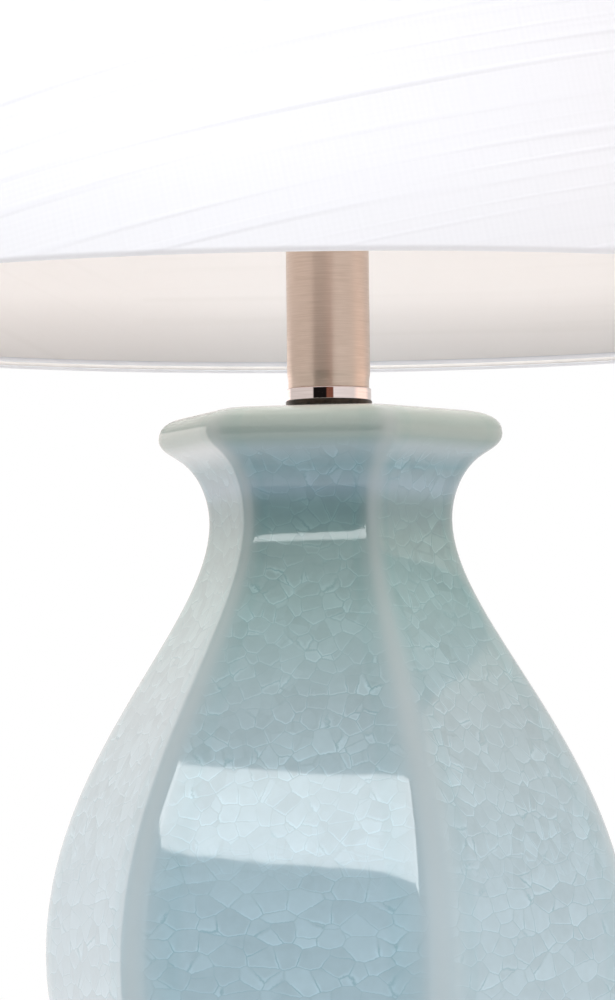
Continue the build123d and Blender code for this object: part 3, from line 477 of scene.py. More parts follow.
# The cracks come and go, and fade out over the ridges and the lip, where the glaze is thin.
patches = add(tree, "TexNoise", {"Vector": where, "Scale": 1 / (16 * mm), "Detail": 1.0})
ridge = add(tree, "Attribute", attribute_name="ridge").outputs["Fac"]
ridge_start = 0.10
thin = {"Value": ridge, "From Min": ridge_start}
thin = add(tree, "MapRange", thin, interpolation_type="SMOOTHSTEP")
pooled = add(tree, "MapRange", {"Value": ridge, "From Max": ridge_start})
on_lip = {"Value": rise, "From Min": under - 4 * mm, "From Max": under + 3 * mm}
on_lip = add(tree, "MapRange", on_lip, interpolation_type="SMOOTHSTEP")
visible = {"Value": patches, "From Min": 0.36, "From Max": 0.60, "To Min": 0.55}
visible = add(tree, "MapRange", visible)
for where_thin, ends in (
    (thin, {"From Max": 0.8, "To Min": 1.0, "To Max": 0.08}),
    (on_lip, {"To Min": 1.0, "To Max": 0.12}),
):
    left = add(tree, "MapRange", {"Value": where_thin} | ends)
    visible = add(tree, "Math", {0: visible, 1: left}, operation="MULTIPLY")

# Painted light on the plates: the slope lightens each plate's lower side, and the shine is its painted
# highlight.
slope_light, flake_light, shine_light, cloud_light = 0.045, 0.080, 0.16, 0.03
darkest, palest = 0.91, 0.97
tone = add(tree, "MapRange", {"Value": net["tint"], "To Min": darkest, "To Max": palest})
for look, light in (("slope", slope_light), ("flake", flake_light), ("shine", shine_light)):
    tone = add(tree, "Math", {0: net[look], 1: light, 2: tone}, operation="MULTIPLY_ADD")
cloud = add(tree, "TexNoise", {"Vector": where, "Scale": 1 / (3 * mm), "Detail": 2.0})
cloud = {"Value": cloud, "From Min": 0.3, "From Max": 0.7, "To Min": -cloud_light}
cloud |= {"To Max": cloud_light}
tone = add(tree, "Math", {0: tone, 1: add(tree, "MapRange", cloud)}, operation="ADD")
tone = add(tree, "Mix", {0: visible, 2: 1.0, 3: tone})
# The cracks are dark lines in the glaze; their extra depth at each plate's lower edge is painted shade.
crack_line_and_shade, ridge_stain = (0.70, 0.82, 0.84), (0.95, 0.98, 0.98)
plates = add(tree, "VectorMath", {0: body, "Scale": tone}, operation="SCALE")
crack_darkened = add(tree, "VectorMath", {0: plates, 1: crack_line_and_shade}, operation="MULTIPLY")
shown = add(tree, "Math", {0: net["line"], 1: visible}, operation="MULTIPLY")
cracked = add(tree, "Mix", {0: shown, 6: plates, 7: crack_darkened}, data_type="RGBA").outputs[2]
# Beside each ridge the glaze pools a little deeper. On the ridge the pale clay shows through, and that
# paleness is also a painted highlight along the rounded corners.
deep = add(tree, "VectorMath", {0: cracked, 1: ridge_stain}, operation="MULTIPLY")
beside = add(tree, "Math", {0: pooled, 1: thin}, operation="SUBTRACT")
glazed = add(tree, "Mix", {0: beside, 6: cracked, 7: deep}, data_type="RGBA").outputs[2]
clay_and_corner_highlight, pale_ridge_share = colour("#c6cdce"), 0.38
pale_ridge = add(tree, "Math", {0: thin, 1: pale_ridge_share}, operation="MULTIPLY")
glazed = add(tree, "Mix", {0: pale_ridge, 6: glazed, 7: clay_and_corner_highlight}, data_type="RGBA").outputs[2]
# The glaze's skin waves gently every 22 mm, and dips a little at each crack.
ripple = {"Vector": where, "Scale": 1 / (22 * mm), "Detail": 5.0, "Roughness": 0.36}
waves = {"Strength": 0.5, "Distance": 0.18 * mm, "Height": add(tree, "TexNoise", ripple)}
creases = {"Strength": 0.2, "Distance": 0.03 * mm, "Height": net["line"]}
creases = add(tree, "Bump", creases | {"Normal": add(tree, "Bump", waves)}, invert=True)
feed(tree, shader, {"Base Color": glazed, "Roughness": 0.06, "IOR": 1.5, "Normal": creases})
jar.data.materials.append(celadon)
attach(jar, "root")
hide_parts("jar_body")

# -------------------------------- felt pad
# A six-sided pad of dense wool felt, glued under the foot to save the table.
# It is die-cut, so its edge is square and only a little fuzzy.
felt_low, felt_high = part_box("felt_pad")


def thicken(bm, rise):
    """Fill a flat outline and raise it into a slab."""
    bmesh.ops.contextual_create(bm, geom=bm.edges[:])
    made = bmesh.ops.extrude_face_region(bm, geom=bm.faces[:])["geom"]
    raised = [item for item in made if isinstance(item, bmesh.types.BMVert)]
    bmesh.ops.translate(bm, verts=raised, vec=(0, 0, rise))
    bmesh.ops.recalc_face_normals(bm, faces=bm.faces)


def ease(bm, width, sharpest=50, segments=2):
    """Round the hard edges of a piece."""
    hard = [edge for edge in bm.edges if edge.calc_face_angle(0) > radians(sharpest)]
    round_off(bm, hard, width, segments, "EDGES")


def worn(name, dark, pale, grain, roughness, metallic=0.0, stretch=(1, 1, 1), depth=0.0, play=0.15):
    """Make a finish of two hex shades in grains of a real size, with its gloss and relief."""
    material, tree, shader, where = new_material(name)
    laid = add(tree, "Mapping", {"Vector": where, "Scale": stretch})
    grains = add(tree, "TexNoise", {"Vector": laid, "Scale": 1 / grain, "Detail": 3.0})
    gloss = {"Value": grains, "From Min": 0.3, "From Max": 0.7}
    gloss |= {"To Min": roughness * (1 + play), "To Max": roughness * (1 - play)}
    relief = add(tree, "Bump", {"Strength": 0.6, "Distance": depth, "Height": grains})
    shades = add(tree, "ValToRGB", {0: grains}, stops=[(0.3, dark), (0.7, pale)])
    looks = {"Base Color": shades, "Metallic": metallic, "Normal": relief}
    feed(tree, shader, looks | {"Roughness": add(tree, "MapRange", gloss)})
    return material


bm = six_sides(felt_high.y, felt_low.z)
thicken(bm, felt_high.z - felt_low.z)
ease(bm, 0.35 * mm)
# Wool felt: matted fibres 0.3 mm long, no gloss, a soft bloom at grazing angles.
wool = worn("wool_felt", "#211f1d", "#3a3733", 0.3 * mm, 0.95, depth=0.15 * mm)
wool.node_tree.nodes["Principled BSDF"].inputs["Sheen Weight"].default_value = 0.35
felt = place("felt_sole", bm, wool)
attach(felt, "root")
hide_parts("felt_pad")

# -------------------------------- base plate and rod
# A black steel plate closes the foot. A hollow threaded rod runs up the lamp from its nut and
# washer, and clamps jar, neck and socket together. All are plain bought hardware.
def dress(material, *nodes):
    """Give carried-over pieces their material."""
    for node in nodes:
        for slot in lamp[node].material_slots:
            slot.material = material


# Black paint on steel, with a fine orange peel 1.5 mm wide.
black_paint = worn("black_painted_steel", "#1b1b1c", "#232324", 1.5 * mm, 0.45, depth=0.02 * mm)
# Bright zinc: bluish and cloudy, the clouds about 4 mm wide.
zinc = worn("zinc_plated_steel", "#b4b9bd", "#cfd2d3", 4 * mm, 0.32, metallic=1.0, depth=0.01 * mm)
# The same zinc on the rod, which shows its thread: one ridge a millimetre, drawn as rings in relief,
# with the grooves painted darker and the crests paler as painted shade.
rolled_zinc, tree, shader, where = new_material("zinc_plated_thread")
pitch = 1.0 * mm
height = add(tree, "SeparateXYZ", {0: where}).outputs["Z"]
turns = add(tree, "Math", {0: height, 1: pitch}, operation="DIVIDE")
turns = add(tree, "Math", {0: turns}, operation="FRACT")
ridges = add(tree, "Math", {0: turns, 1: 0.5}, operation="PINGPONG")
# Painted shade: dark in the thread's grooves, pale on its crests.
shades = add(tree, "ValToRGB", {0: ridges}, stops=[(0.0, "#8f9498"), (0.5, "#cdd0d2")])
relief = add(tree, "Bump", {"Strength": 0.8, "Distance": 0.4 * mm, "Height": ridges})
looks = {"Base Color": shades, "Metallic": 1.0, "Roughness": 0.35, "Normal": relief}
feed(tree, shader, looks)
dress(black_paint, "base_plate")
dress(zinc, "base_washer", "base_nut", "set_screw")
dress(rolled_zinc, "threaded_rod")

# -------------------------------- cord grommet
# A black rubber grommet lines the cord hole. It is pressed in from outside, and its two
# flanges hold it on the flat seats of the wall.
grommet_low, grommet_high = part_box("cord_grommet")
flange_radius, body_radius, bore_radius = grommet_high.x, 5.2 * mm, 3.6 * mm
bm = turn(
    [
        (bore_radius, grommet_low.y), (flange_radius, grommet_low.y), (flange_radius, spot_inner),
        (body_radius, spot_inner), (body_radius, spot_outer), (flange_radius, spot_outer),
        (flange_radius, grommet_high.y), (bore_radius, grommet_high.y),
    ],
    rounding=0.7 * mm,
    steps=64,
)
lay_along_y(bm, ankle)
# Rubber: dull, nearly black, with a faint moulded grain.
rubber = worn("moulded_rubber", "#1c1c1c", "#262625", 0.8 * mm, 0.6, depth=0.02 * mm)
grommet = place("rubber_grommet", bm, rubber)
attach(grommet, "root")
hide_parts("cord_grommet")

# -------------------------------- neck
# On the jar's top sit a dark bronze washer, a mirror-polished ring and a tube of satin nickel,
# with a cap over it. They are spun or turned, and held down by the rod inside.
rod_clearance = 5.1 * mm


def hollow(bore, low, high):
    """Give the outline of a plain ring with a bore, as wide and as high as a box."""
    return [(bore, low.z), (high.x, low.z), (high.x, high.z), (bore, high.z)]


bm = turn(hollow(rod_clearance, *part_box("neck_gasket")), rounding=0.4 * mm, steps=128)
# Oil-rubbed bronze: nearly black, half dull, brown where it is rubbed.
bronze = worn("oil_rubbed_bronze", "#1c160f", "#3a2f25", 2 * mm, 0.38, metallic=0.6, depth=0.01 * mm)
gasket = place("bronze_washer", bm, bronze)
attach(gasket, "root")
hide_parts("neck_gasket")

bm = turn(hollow(rod_clearance, *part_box("neck_ring")), rounding=0.12 * mm, steps=128)
# Mirror nickel: a warm white metal, with hair-fine wipe marks 0.5 mm apart round the ring.
round_it = (0.05, 0.05, 1)
mirror = worn(
    "mirror_nickel", "#dccfcc", "#e6dad7", 0.5 * mm, 0.035, metallic=1.0, stretch=round_it, play=0.3
)
bright_ring = place("polished_ring", bm, mirror)
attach(bright_ring, "root")
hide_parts("neck_ring")

# Satin nickel: brushed round the tube, so reflections stretch upright; strokes 0.1 mm apart,
# drawn 0.25 mm apart so that they show.
satin, tree, shader, where = new_material("satin_nickel")
strokes = add(tree, "Mapping", {"Vector": where, "Scale": (0.03, 0.03, 1)})
hairs = add(tree, "TexNoise", {"Vector": strokes, "Scale": 1 / (0.25 * mm), "Detail": 3.0})
clouds = add(tree, "TexNoise", {"Vector": where, "Scale": 1 / (6 * mm), "Detail": 2.0})
cloud_share = 0.25
brushing = add(tree, "Math", {0: hairs, 1: 1 - cloud_share}, operation="MULTIPLY")
brushing = {0: clouds, 1: cloud_share, 2: brushing}
brushing = add(tree, "Math", brushing, operation="MULTIPLY_ADD")
shades = add(tree, "ValToRGB", {0: brushing}, stops=[(0.35, "#c9b6a8"), (0.65, "#d5c3b6")])
gloss = {"Value": hairs, "From Min": 0.3, "From Max": 0.7, "To Min": 0.37, "To Max": 0.33}
looks = {"Base Color": shades, "Metallic": 1.0, "Roughness": add(tree, "MapRange", gloss)}
looks |= {"Anisotropic": 0.75, "Anisotropic Rotation": 0.25}
looks |= {"Tangent": add(tree, "Tangent", direction_type="RADIAL", axis="Z")}
looks |= {"Normal": add(tree, "Bump", {"Strength": 0.03, "Distance": 0.01 * mm, "Height": hairs})}
feed(tree, shader, looks)

tube_low, tube_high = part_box("neck_tube")
end_radius, tube_radius, tube_wall = 12.35 * mm, tube_high.x, 1.2 * mm
straight_end, taper_end = tube_low.z + 2.4 * mm, tube_low.z + 4.8 * mm
bm = turn(
    [
        (end_radius - tube_wall, tube_low.z), (end_radius, tube_low.z), (end_radius, straight_end),
        (tube_radius, taper_end), (tube_radius, tube_high.z),
        (tube_radius - tube_wall, tube_high.z), (tube_radius - tube_wall, taper_end),
        (end_radius - tube_wall, straight_end),
    ],
    rounding=0.4 * mm,
    steps=128,
)
tube = place("satin_tube", bm, satin)
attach(tube, "root")
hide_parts("neck_tube")

cap_low, cap_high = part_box("neck_cap")
spigot_radius = tube_radius - tube_wall - 0.1 * mm
bm = turn(
    [
        (rod_clearance, cap_low.z), (spigot_radius, cap_low.z), (spigot_radius, tube_high.z),
        (cap_high.x, tube_high.z), (cap_high.x, cap_high.z), (rod_clearance, cap_high.z),
    ],
    rounding=0.6 * mm,
    steps=128,
)
cap = place("tube_cap", bm, satin)
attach(cap, "root")
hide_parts("neck_cap")

# -------------------------------- harp
# The harp carries the shade. A stamped saddle with two posts sits under the socket's nut; the
# sprung wire stands on the posts, and two sleeves slide down over the joints. A turned seat with
# a threaded stud is swaged on the wire's top. All is nickel-plated steel.
saddle_low, saddle_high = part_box("harp_saddle")
wire_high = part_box("harp_wire")[1]
wire_radius, half_span = wire_high.y, 28.0 * mm
saddle_width, saddle_thickness = saddle_high.y, 2.0 * mm
post_top, saddle_top = saddle_high.z, saddle_low.z + saddle_thickness
wire_top = wire_high.z - wire_radius


def gather(bm, other, moved=Matrix.Identity(4)):
    """Take another piece into this one, moved to its place."""
    mesh = bpy.data.meshes.new("part")
    other.to_mesh(mesh)
    other.free()
    mesh.transform(moved)
    bm.from_mesh(mesh)
    bpy.data.meshes.remove(mesh)


def bend_wire(corners, radius):
    """Bend a round wire along its corners, each a point and the radius of its bend."""
    bm = bmesh.new()
    points = [bm.verts.new(point) for point, _ in corners]
    for start, end in zip(points, points[1:]):
        bm.edges.new((start, end))
    places = [Vector(point) for point, _ in corners]
    for number, (_, bend_radius) in list(enumerate(corners))[1:-1]:
        before, here, after = places[number - 1 : number + 2]
        turned = (here - before).angle(after - here)
        round_off(bm, [points[number]], bend_radius * tan(turned / 2), 12)
    path = place("path", bm)
    bpy.ops.object.select_all(action="DESELECT")
    bpy.context.view_layer.objects.active = path
    path.select_set(True)
    bpy.ops.object.convert(target="CURVE")
    path.data.bevel_depth, path.data.bevel_resolution = radius, 3
    path.data.use_fill_caps = True
    bm = bmesh.new()
    bm.from_mesh(finished_mesh(path))
    bpy.data.objects.remove(path)
    weld(bm)
    return bm


# Plated steel wire: bright, with draw marks along it and clouds about 3 mm long.
plated = worn("nickel_plated_steel", "#bdb8b0", "#d2cec8", 3 * mm, 0.25, metallic=1.0, depth=0.008 * mm)

bm = bmesh.new()
bmesh.ops.create_circle(bm, segments=48, radius=saddle_width)
for side in (-1, 1):
    end = [vertex for vertex in bm.verts if vertex.co.x * side > 0.001 * mm]
    bmesh.ops.translate(bm, verts=end, vec=(side * half_span, 0, 0))
bmesh.ops.translate(bm, verts=bm.verts, vec=(0, 0, saddle_low.z))
thicken(bm, saddle_thickness)
ease(bm, 0.4 * mm)
post_foot = wire_radius + 0.9 * mm
for side in (-1, 1):
    post = turn(
        [
            (0, saddle_top - 0.5 * mm), (post_foot, saddle_top - 0.5 * mm),
            (post_foot, saddle_top + 0.25 * mm), (wire_radius, saddle_top + 0.3 * mm),
            (wire_radius, post_top), (0, post_top),
        ],
        rounding=0.12 * mm,
        steps=32,
    )
    gather(bm, post, Matrix.Translation((side * half_span, 0, 0)))
saddle = place("saddle", bm, plated)
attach(saddle, "root")
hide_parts("harp_saddle")

knee, side_low, side_high = 457.8 * mm, saddle_top + 90 * mm, saddle_top + 158 * mm
half_width, half_top = wire_high.x - wire_radius, 23.0 * mm
left_side = [
    ((-half_span, 0, post_top), 0), ((-half_span, 0, knee), 40 * mm),
    ((-half_width, 0, side_low), 60 * mm), ((-half_width, 0, side_high), 60 * mm),
    ((-half_top, 0, wire_top), 24 * mm),
]
right_side = [((-x, y, z), bend_radius) for (x, y, z), bend_radius in reversed(left_side)]
harp = place("harp", bend_wire(left_side + right_side, wire_radius), plated)
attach(harp, "root")
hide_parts("harp_wire")

stud_low, stud_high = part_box("harp_stud")
seat, stud_radius, swage_radius = stud_high.z - 14 * mm, 3.1 * mm, 5.5 * mm
bm = turn(
    [
        (0, stud_low.z), (swage_radius, stud_low.z), (swage_radius, seat - 2 * mm),
        (stud_high.x, seat - 2 * mm), (stud_high.x, seat), (stud_radius, seat),
        (stud_radius, stud_high.z), (0, stud_high.z),
    ],
    rounding=0.4 * mm,
    steps=64,
)
stud = place("shade_seat", bm, plated)
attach(stud, "root")
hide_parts("harp_stud")

sleeve_low, sleeve_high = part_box("harp_sleeve_right")
sleeve_bore, sleeve_radius = wire_radius + 0.4 * mm, sleeve_high.y
flange, neck_in, tip_in = 1.6 * mm, 0.5 * mm, 0.9 * mm
for side, name in ((-1, "left"), (1, "right")):
    sleeve = turn(
        [
            (sleeve_bore, sleeve_low.z), (sleeve_radius, sleeve_low.z),
            (sleeve_radius, sleeve_low.z + flange),
            (sleeve_radius - neck_in, sleeve_low.z + flange + 0.6 * mm),
            (sleeve_radius - neck_in, sleeve_high.z - 1.2 * mm),
            (sleeve_radius - tip_in, sleeve_high.z), (sleeve_bore, sleeve_high.z),
        ],
        rounding=0.15 * mm,
        steps=48,
    )
    bm = bmesh.new()
    gather(bm, sleeve, Matrix.Translation((side * half_span, 0, 0)))
    thimble = place("sleeve_" + name, bm, plated)
    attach(thimble, "sleeve_" + name)
    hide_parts("harp_sleeve_" + name)

# -------------------------------- socket
# A nut locks the saddle. Above it is a turn-switch socket: a drawn cap and shell of nickelled
# brass, a fibre liner, a moulded block, and a rolled brass screw shell with its contact.
nut_low, nut_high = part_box("saddle_nut")
nut_half = 8 * mm
bm = hexagon(nut_half, nut_low.z)
thicken(bm, nut_high.z - nut_low.z)
ease(bm, 0.4 * mm, segments=3)
nut = place("lock_nut", bm, zinc)
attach(nut, "root")
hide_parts("saddle_nut")

holder_low, holder_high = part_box("socket_cap")
shell_low, shell_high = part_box("socket_shell")
cap_radius, cap_wall, hub_radius, hub_height = holder_high.y, 0.9 * mm, 8.0 * mm, 5.0 * mm
shell_radius, shell_wall = shell_high.x, 0.7 * mm
outside = [(rod_clearance, holder_low.z), (hub_radius, holder_low.z)]
bend(
    outside, (hub_radius + 5 * mm, holder_low.z + 2.5 * mm), (cap_radius, shell_low.z - 5 * mm),
    (cap_radius, shell_low.z)
)
outside += [(cap_radius, holder_high.z), (cap_radius - cap_wall, holder_high.z)]
inside = [(cap_radius - cap_wall, shell_low.z)]
bend(
    inside, (cap_radius - cap_wall, shell_low.z - 3 * mm),
    (hub_radius + 3 * mm, holder_low.z + hub_height + 1.5 * mm),
    (hub_radius, holder_low.z + hub_height)
)
inside += [(rod_clearance, holder_low.z + hub_height)]
# Drawn brass, nickelled: bright, with faint draw lines 0.8 mm apart round it.
drawn = {"metallic": 1.0, "stretch": round_it, "depth": 0.01 * mm}
nickelled = worn("nickelled_brass", "#b9b2a8", "#cdc7be", 0.8 * mm, 0.28, **drawn)
holder = place("socket_holder", turn(outside + inside), nickelled)
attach(holder, "root")
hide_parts("socket_cap")

knob_low, knob_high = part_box("switch_knob")
shaft_low, shaft_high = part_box("switch_shaft")
knob_z = (shaft_low.z + shaft_high.z) / 2
shaft_hole = shaft_high.x + 0.4 * mm
bead, bead_z, lip_z = 0.4 * mm, shell_low.z + 21 * mm, shell_high.z - 3 * mm
shell = place(
    "socket_can",
    turn(
        [
            (shell_radius - shell_wall, shell_low.z), (shell_radius, shell_low.z),
            (shell_radius, bead_z - 1 * mm), (shell_radius + bead, bead_z),
            (shell_radius, bead_z + 1 * mm), (shell_radius, lip_z - 0.5 * mm),
            (shell_radius + bead, lip_z + 0.5 * mm), (shell_radius + bead, shell_high.z),
            (shell_radius - shell_wall, shell_high.z),
        ],
        rounding=0.2 * mm,
    ),
    nickelled,
)
start, end = shell_radius / 2, 2 * shell_radius
bore = turn([(0, start), (shaft_hole, start), (shaft_hole, end), (0, end)], steps=32)
lay_along_y(bore, knob_z, forward=True)
drill(shell, bore)
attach(shell, "root")
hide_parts("socket_shell")

# Vulcanised fibre: grey-brown board with fibres 0.6 mm long. Phenolic: black and faintly mottled.
# Brass: yellow and soft, scratched finely.
board = worn("fibre_board", "#4d443a", "#665b4e", 0.6 * mm, 0.8, depth=0.05 * mm)
phenolic = worn("moulded_phenolic", "#1a1716", "#2a2523", 1.2 * mm, 0.4, depth=0.01 * mm)
brass = worn("turned_brass", "#b8924f", "#d0ab66", 1.5 * mm, 0.3, metallic=1.0, depth=0.01 * mm)
dress(board, "socket_liner")
dress(phenolic, "socket_block")
dress(brass, "terminal_screws", "centre_contact", "switch_shaft")

# The bulb's round thread has 7 turns to the inch: 20 mm in 5.5 turns, as the bulb's joint turns.
thread_pitch, thread_depth = 20 * mm / 5.5, 0.8 * mm


def roll_thread(bm, low, high, least_radius):
    """Press a round thread into the skin outside a radius, fading out at both ends."""
    for vertex in bm.verts:
        reach = vertex.co.xy.length
        if reach > least_radius:
            run = min(vertex.co.z - low, high - vertex.co.z) / thread_pitch
            angle = 2 * pi * vertex.co.z / thread_pitch - atan2(vertex.co.y, vertex.co.x)
            press = thread_depth * min(1.0, max(0.0, run)) * (1 - cos(angle)) / 2
            vertex.co.xy *= (reach - press) / reach


def tall_wall(radius, low, high, steps=44):
    """Give the points of an upright wall, close enough for a thread."""
    return [(radius, low + (high - low) * n / steps) for n in range(steps + 1)]


screw_low, screw_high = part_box("screw_shell")
screw_radius, screw_wall, screw_hole = screw_high.x, 0.5 * mm, 6.5 * mm
bm = turn(
    [(screw_hole, screw_low.z)]
    + tall_wall(screw_radius, screw_low.z, screw_high.z)
    + tall_wall(screw_radius - screw_wall, screw_high.z, screw_low.z + screw_wall)
    + [(screw_hole, screw_low.z + screw_wall)],
    steps=64,
)
roll_thread(bm, screw_low.z + 1 * mm, screw_high.z - 0.5 * mm, 10 * mm)
rolled_brass = worn("rolled_brass", "#c09a55", "#d8b673", 2 * mm, 0.25, metallic=1.0, depth=0.01 * mm)
screw = place("threaded_shell", bm, rolled_brass)
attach(screw, "root")
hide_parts("screw_shell")

# -------------------------------- switch knob
# A moulded black knob on the switch's brass shaft, pressed on. Twelve ribs give the fingers
# a grip, and its end is domed.
ribs, rib_height, grip_radius, knob_end = 12, 0.6 * mm, 4.6 * mm, 1.2 * mm
knob_from, knob_to = -knob_high.y, -knob_low.y
bm = bmesh.new()
bmesh.ops.create_circle(bm, segments=144, radius=grip_radius)
for vertex in bm.verts:
    swell = max(0.0, cos(ribs * atan2(vertex.co.y, vertex.co.x))) ** 1.5
    vertex.co.xy *= 1 + rib_height * swell / grip_radius
bmesh.ops.translate(bm, verts=bm.verts, vec=(0, 0, knob_from))
thicken(bm, knob_to - knob_end - knob_from)
crown_faces = [face for face in bm.faces if face.normal.z > 0.9]
# The domed end, in four steps: how far each draws in, and its share of the height.
for shrink, rise in ((0.94, 0.55), (0.90, 0.35), (0.80, 0.2), (0.6, 0.1)):
    made = bmesh.ops.extrude_face_region(bm, geom=crown_faces)["geom"]
    bmesh.ops.delete(bm, geom=crown_faces, context="FACES_ONLY")
    rim = [item for item in made if isinstance(item, bmesh.types.BMVert)]
    crown_faces = [item for item in made if isinstance(item, bmesh.types.BMFace)]
    bmesh.ops.scale(bm, verts=rim, vec=(shrink, shrink, 1))
    bmesh.ops.translate(bm, verts=rim, vec=(0, 0, rise * knob_end))
bmesh.ops.recalc_face_normals(bm, faces=bm.faces)
lay_along_y(bm, knob_z, forward=True)
# Phenolic moulding: glossy black, with a very fine mottle.
glossy = worn("glossy_phenolic", "#141313", "#1d1b1b", 0.7 * mm, 0.2, depth=0.004 * mm)
knob = place("ribbed_knob", bm, glossy)
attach(knob, "switch")
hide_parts("switch_knob")

# -------------------------------- bulb
# A soft white bulb. A black glass insulator carries the solder contact, the cap is rolled
# aluminium, and the glass is blown and coated white inside.
core_low, core_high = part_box("bulb_core")
screw_cap_low, screw_cap_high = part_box("bulb_cap")
bulb_low, bulb_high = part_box("bulb_glass")
solder_level, brim_level, stem_radius = core_low.z + 0.8 * mm, screw_cap_low.z + 2 * mm, 4 * mm
bm = turn(
    [
        (0, core_low.z), (2.6 * mm, core_low.z), (3.2 * mm, solder_level),
        (core_high.x, screw_cap_low.z), (core_high.x, brim_level), (stem_radius, brim_level),
        (stem_radius, core_high.z), (0, core_high.z),
    ],
    rounding=0.25 * mm,
    steps=48,
)
for face in bm.faces:
    face.material_index = int(face.calc_center_median().z < solder_level)
# Black glass: glossy, nearly flat in colour. Solder: grey and half dull.
black_glass = worn("black_glass", "#131315", "#1b1b1e", 2 * mm, 0.12, depth=0.004 * mm)
solder = worn("tin_solder", "#8e9092", "#a9abad", 0.8 * mm, 0.4, metallic=1.0, depth=0.05 * mm)
core = place("insulator", bm, black_glass, solder)
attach(core, "bulb_core")
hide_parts("bulb_core")

screw_cap_radius, cap_skin, cap_hole = screw_cap_high.x, 0.5 * mm, core_high.x + 0.4 * mm
bm = turn(
    [(cap_hole, screw_cap_low.z)]
    + tall_wall(screw_cap_radius, screw_cap_low.z, screw_cap_high.z)
    + tall_wall(screw_cap_radius - cap_skin, screw_cap_high.z, screw_cap_low.z + cap_skin)
    + [(cap_hole, screw_cap_low.z + cap_skin)],
    steps=64,
)
roll_thread(bm, screw_cap_low.z, screw_cap_high.z - 1.5 * mm, 11.5 * mm)
# Aluminium: pale and half bright, with rolling marks.
aluminium = worn("rolled_aluminium", "#bdbec0", "#d3d4d5", 1.5 * mm, 0.3, metallic=1.0, depth=0.01 * mm)
screw_cap = place("threaded_cap", bm, aluminium)
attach(screw_cap, "bulb")
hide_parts("bulb_cap")

ball, bulb_centre, shoulder = bulb_high.x, bulb_high.z - bulb_high.x, radians(25)
# A bezier's pull, as a share of the radius, for a quarter circle and for these 25 degrees.
quarter_pull, shoulder_pull = 0.5523, 0.147
swell = quarter_pull * ball
shoulder_point = Vector((ball * cos(shoulder), bulb_centre - ball * sin(shoulder)))
fall = Vector((sin(shoulder), cos(shoulder)))
outline = [(0, bulb_high.z)]
bend(outline, (swell, bulb_high.z), (ball, bulb_centre + swell), (ball, bulb_centre), 17)
bend(
    outline, (ball, bulb_centre - ball * shoulder_pull),
    shoulder_point + fall * ball * shoulder_pull, shoulder_point, 7
)
bend(
    outline, shoulder_point - fall * 15 * mm, (screw_cap_radius, bulb_low.z + 12 * mm),
    (screw_cap_radius, bulb_low.z), 13
)
outline += [(0, bulb_low.z)]
# The powder coat inside the glass is warm white and faintly cloudy; the glass over it is glossy.
frosted, tree, shader, where = new_material("white_coated_glass")
powder = add(tree, "TexNoise", {"Vector": where, "Scale": 1 / (12 * mm), "Detail": 2.0})
gloss = {"Value": powder, "From Min": 0.3, "From Max": 0.7, "To Min": 0.5, "To Max": 0.42}
looks = {"Base Color": add(tree, "ValToRGB", {0: powder}, stops=[(0.3, "#eeebe4"), (0.7, "#f4f1ea")])}
looks |= {"Roughness": add(tree, "MapRange", gloss), "Coat Weight": 0.6, "Coat Roughness": 0.06}
feed(tree, shader, looks)
glass = place("frosted_bulb", turn(outline), frosted)
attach(glass, "bulb")
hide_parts("bulb_glass")

# -------------------------------- shade cover
# A drum of white slub linen, stretched over two wire rings and glued: its edges are rolled
# round the wires, and its flat pattern meets itself at one seam down the rear, where the threads
# break off. The cloth was cut off the grain, so its threads lean.
bottom_wire, top_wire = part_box("shade_bottom_ring")[1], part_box("shade_top_ring")[1]
ring_wire = 0.9 * mm
bottom_axis = Vector((bottom_wire.x - ring_wire, 0, bottom_wire.z - ring_wire))
top_axis = Vector((top_wire.x - ring_wire, 0, top_wire.z - ring_wire))
slant = atan2(bottom_axis.x - top_axis.x, top_axis.z - bottom_axis.z)
outward, upward = Vector((cos(slant), 0, sin(slant))), Vector((-sin(slant), 0, cos(slant)))
cloth_thickness, wrap_radius, wrap_angle = 0.4 * mm, 1.3 * mm, radians(160)

bm = bmesh.new()
ends = [bm.verts.new(axis + wrap_radius * outward) for axis in (top_axis, bottom_axis)]
bmesh.ops.subdivide_edges(bm, edges=[bm.edges.new(ends)], cuts=11)
for axis, angle in ((top_axis, -wrap_angle), (bottom_axis, wrap_angle)):
    start = bm.verts.new(axis + wrap_radius * outward)
    bmesh.ops.spin(bm, geom=[start], cent=axis, axis=(0, 1, 0), angle=angle, steps=10)
bmesh.ops.remove_doubles(bm, verts=bm.verts, dist=0.001 * mm)


def spin_wall(bm):
    """Spin the line of a slanting wall round into an open skin that faces outwards."""
    spin_round(bm, 192)
    inwards = [face for face in bm.faces if face.normal.xy.dot(face.calc_center_median().xy) < 0]
    if len(inwards) > len(bm.faces) / 2:
        bmesh.ops.reverse_faces(bm, faces=bm.faces)


spin_wall(bm)
# The cloth's own flat pattern, in metres: a slice of a ring, turned so that its threads lean.
seam_azimuth, grain_lean = radians(-150), radians(10.3)
apex = bottom_axis.x / sin(slant)


def lay_flat(bm):
    """Unroll a slanting wall into its flat pattern, and keep that as its map."""
    layer = bm.loops.layers.uv.new("flat_pattern")
    middle_azimuth = seam_azimuth + pi
    for face in bm.faces:
        centre = face.calc_center_median()
        around = atan2(centre.x, -centre.y) - middle_azimuth
        around = (around + pi) % (2 * pi) - pi
        facing = Matrix.Rotation(around + middle_azimuth, 2)
        for loop in face.loops:
            x, y, z = loop.vert.co
            aside = atan2(*(Vector((x, -y)) @ facing.transposed()))
            turned = (around + aside) * sin(slant)
            away = apex - (z - bottom_axis.z) / cos(slant)
            flat = Vector((away * sin(turned), apex - away * cos(turned)))
            loop[layer].uv = Matrix.Rotation(-grain_lean, 2) @ flat


lay_flat(bm)


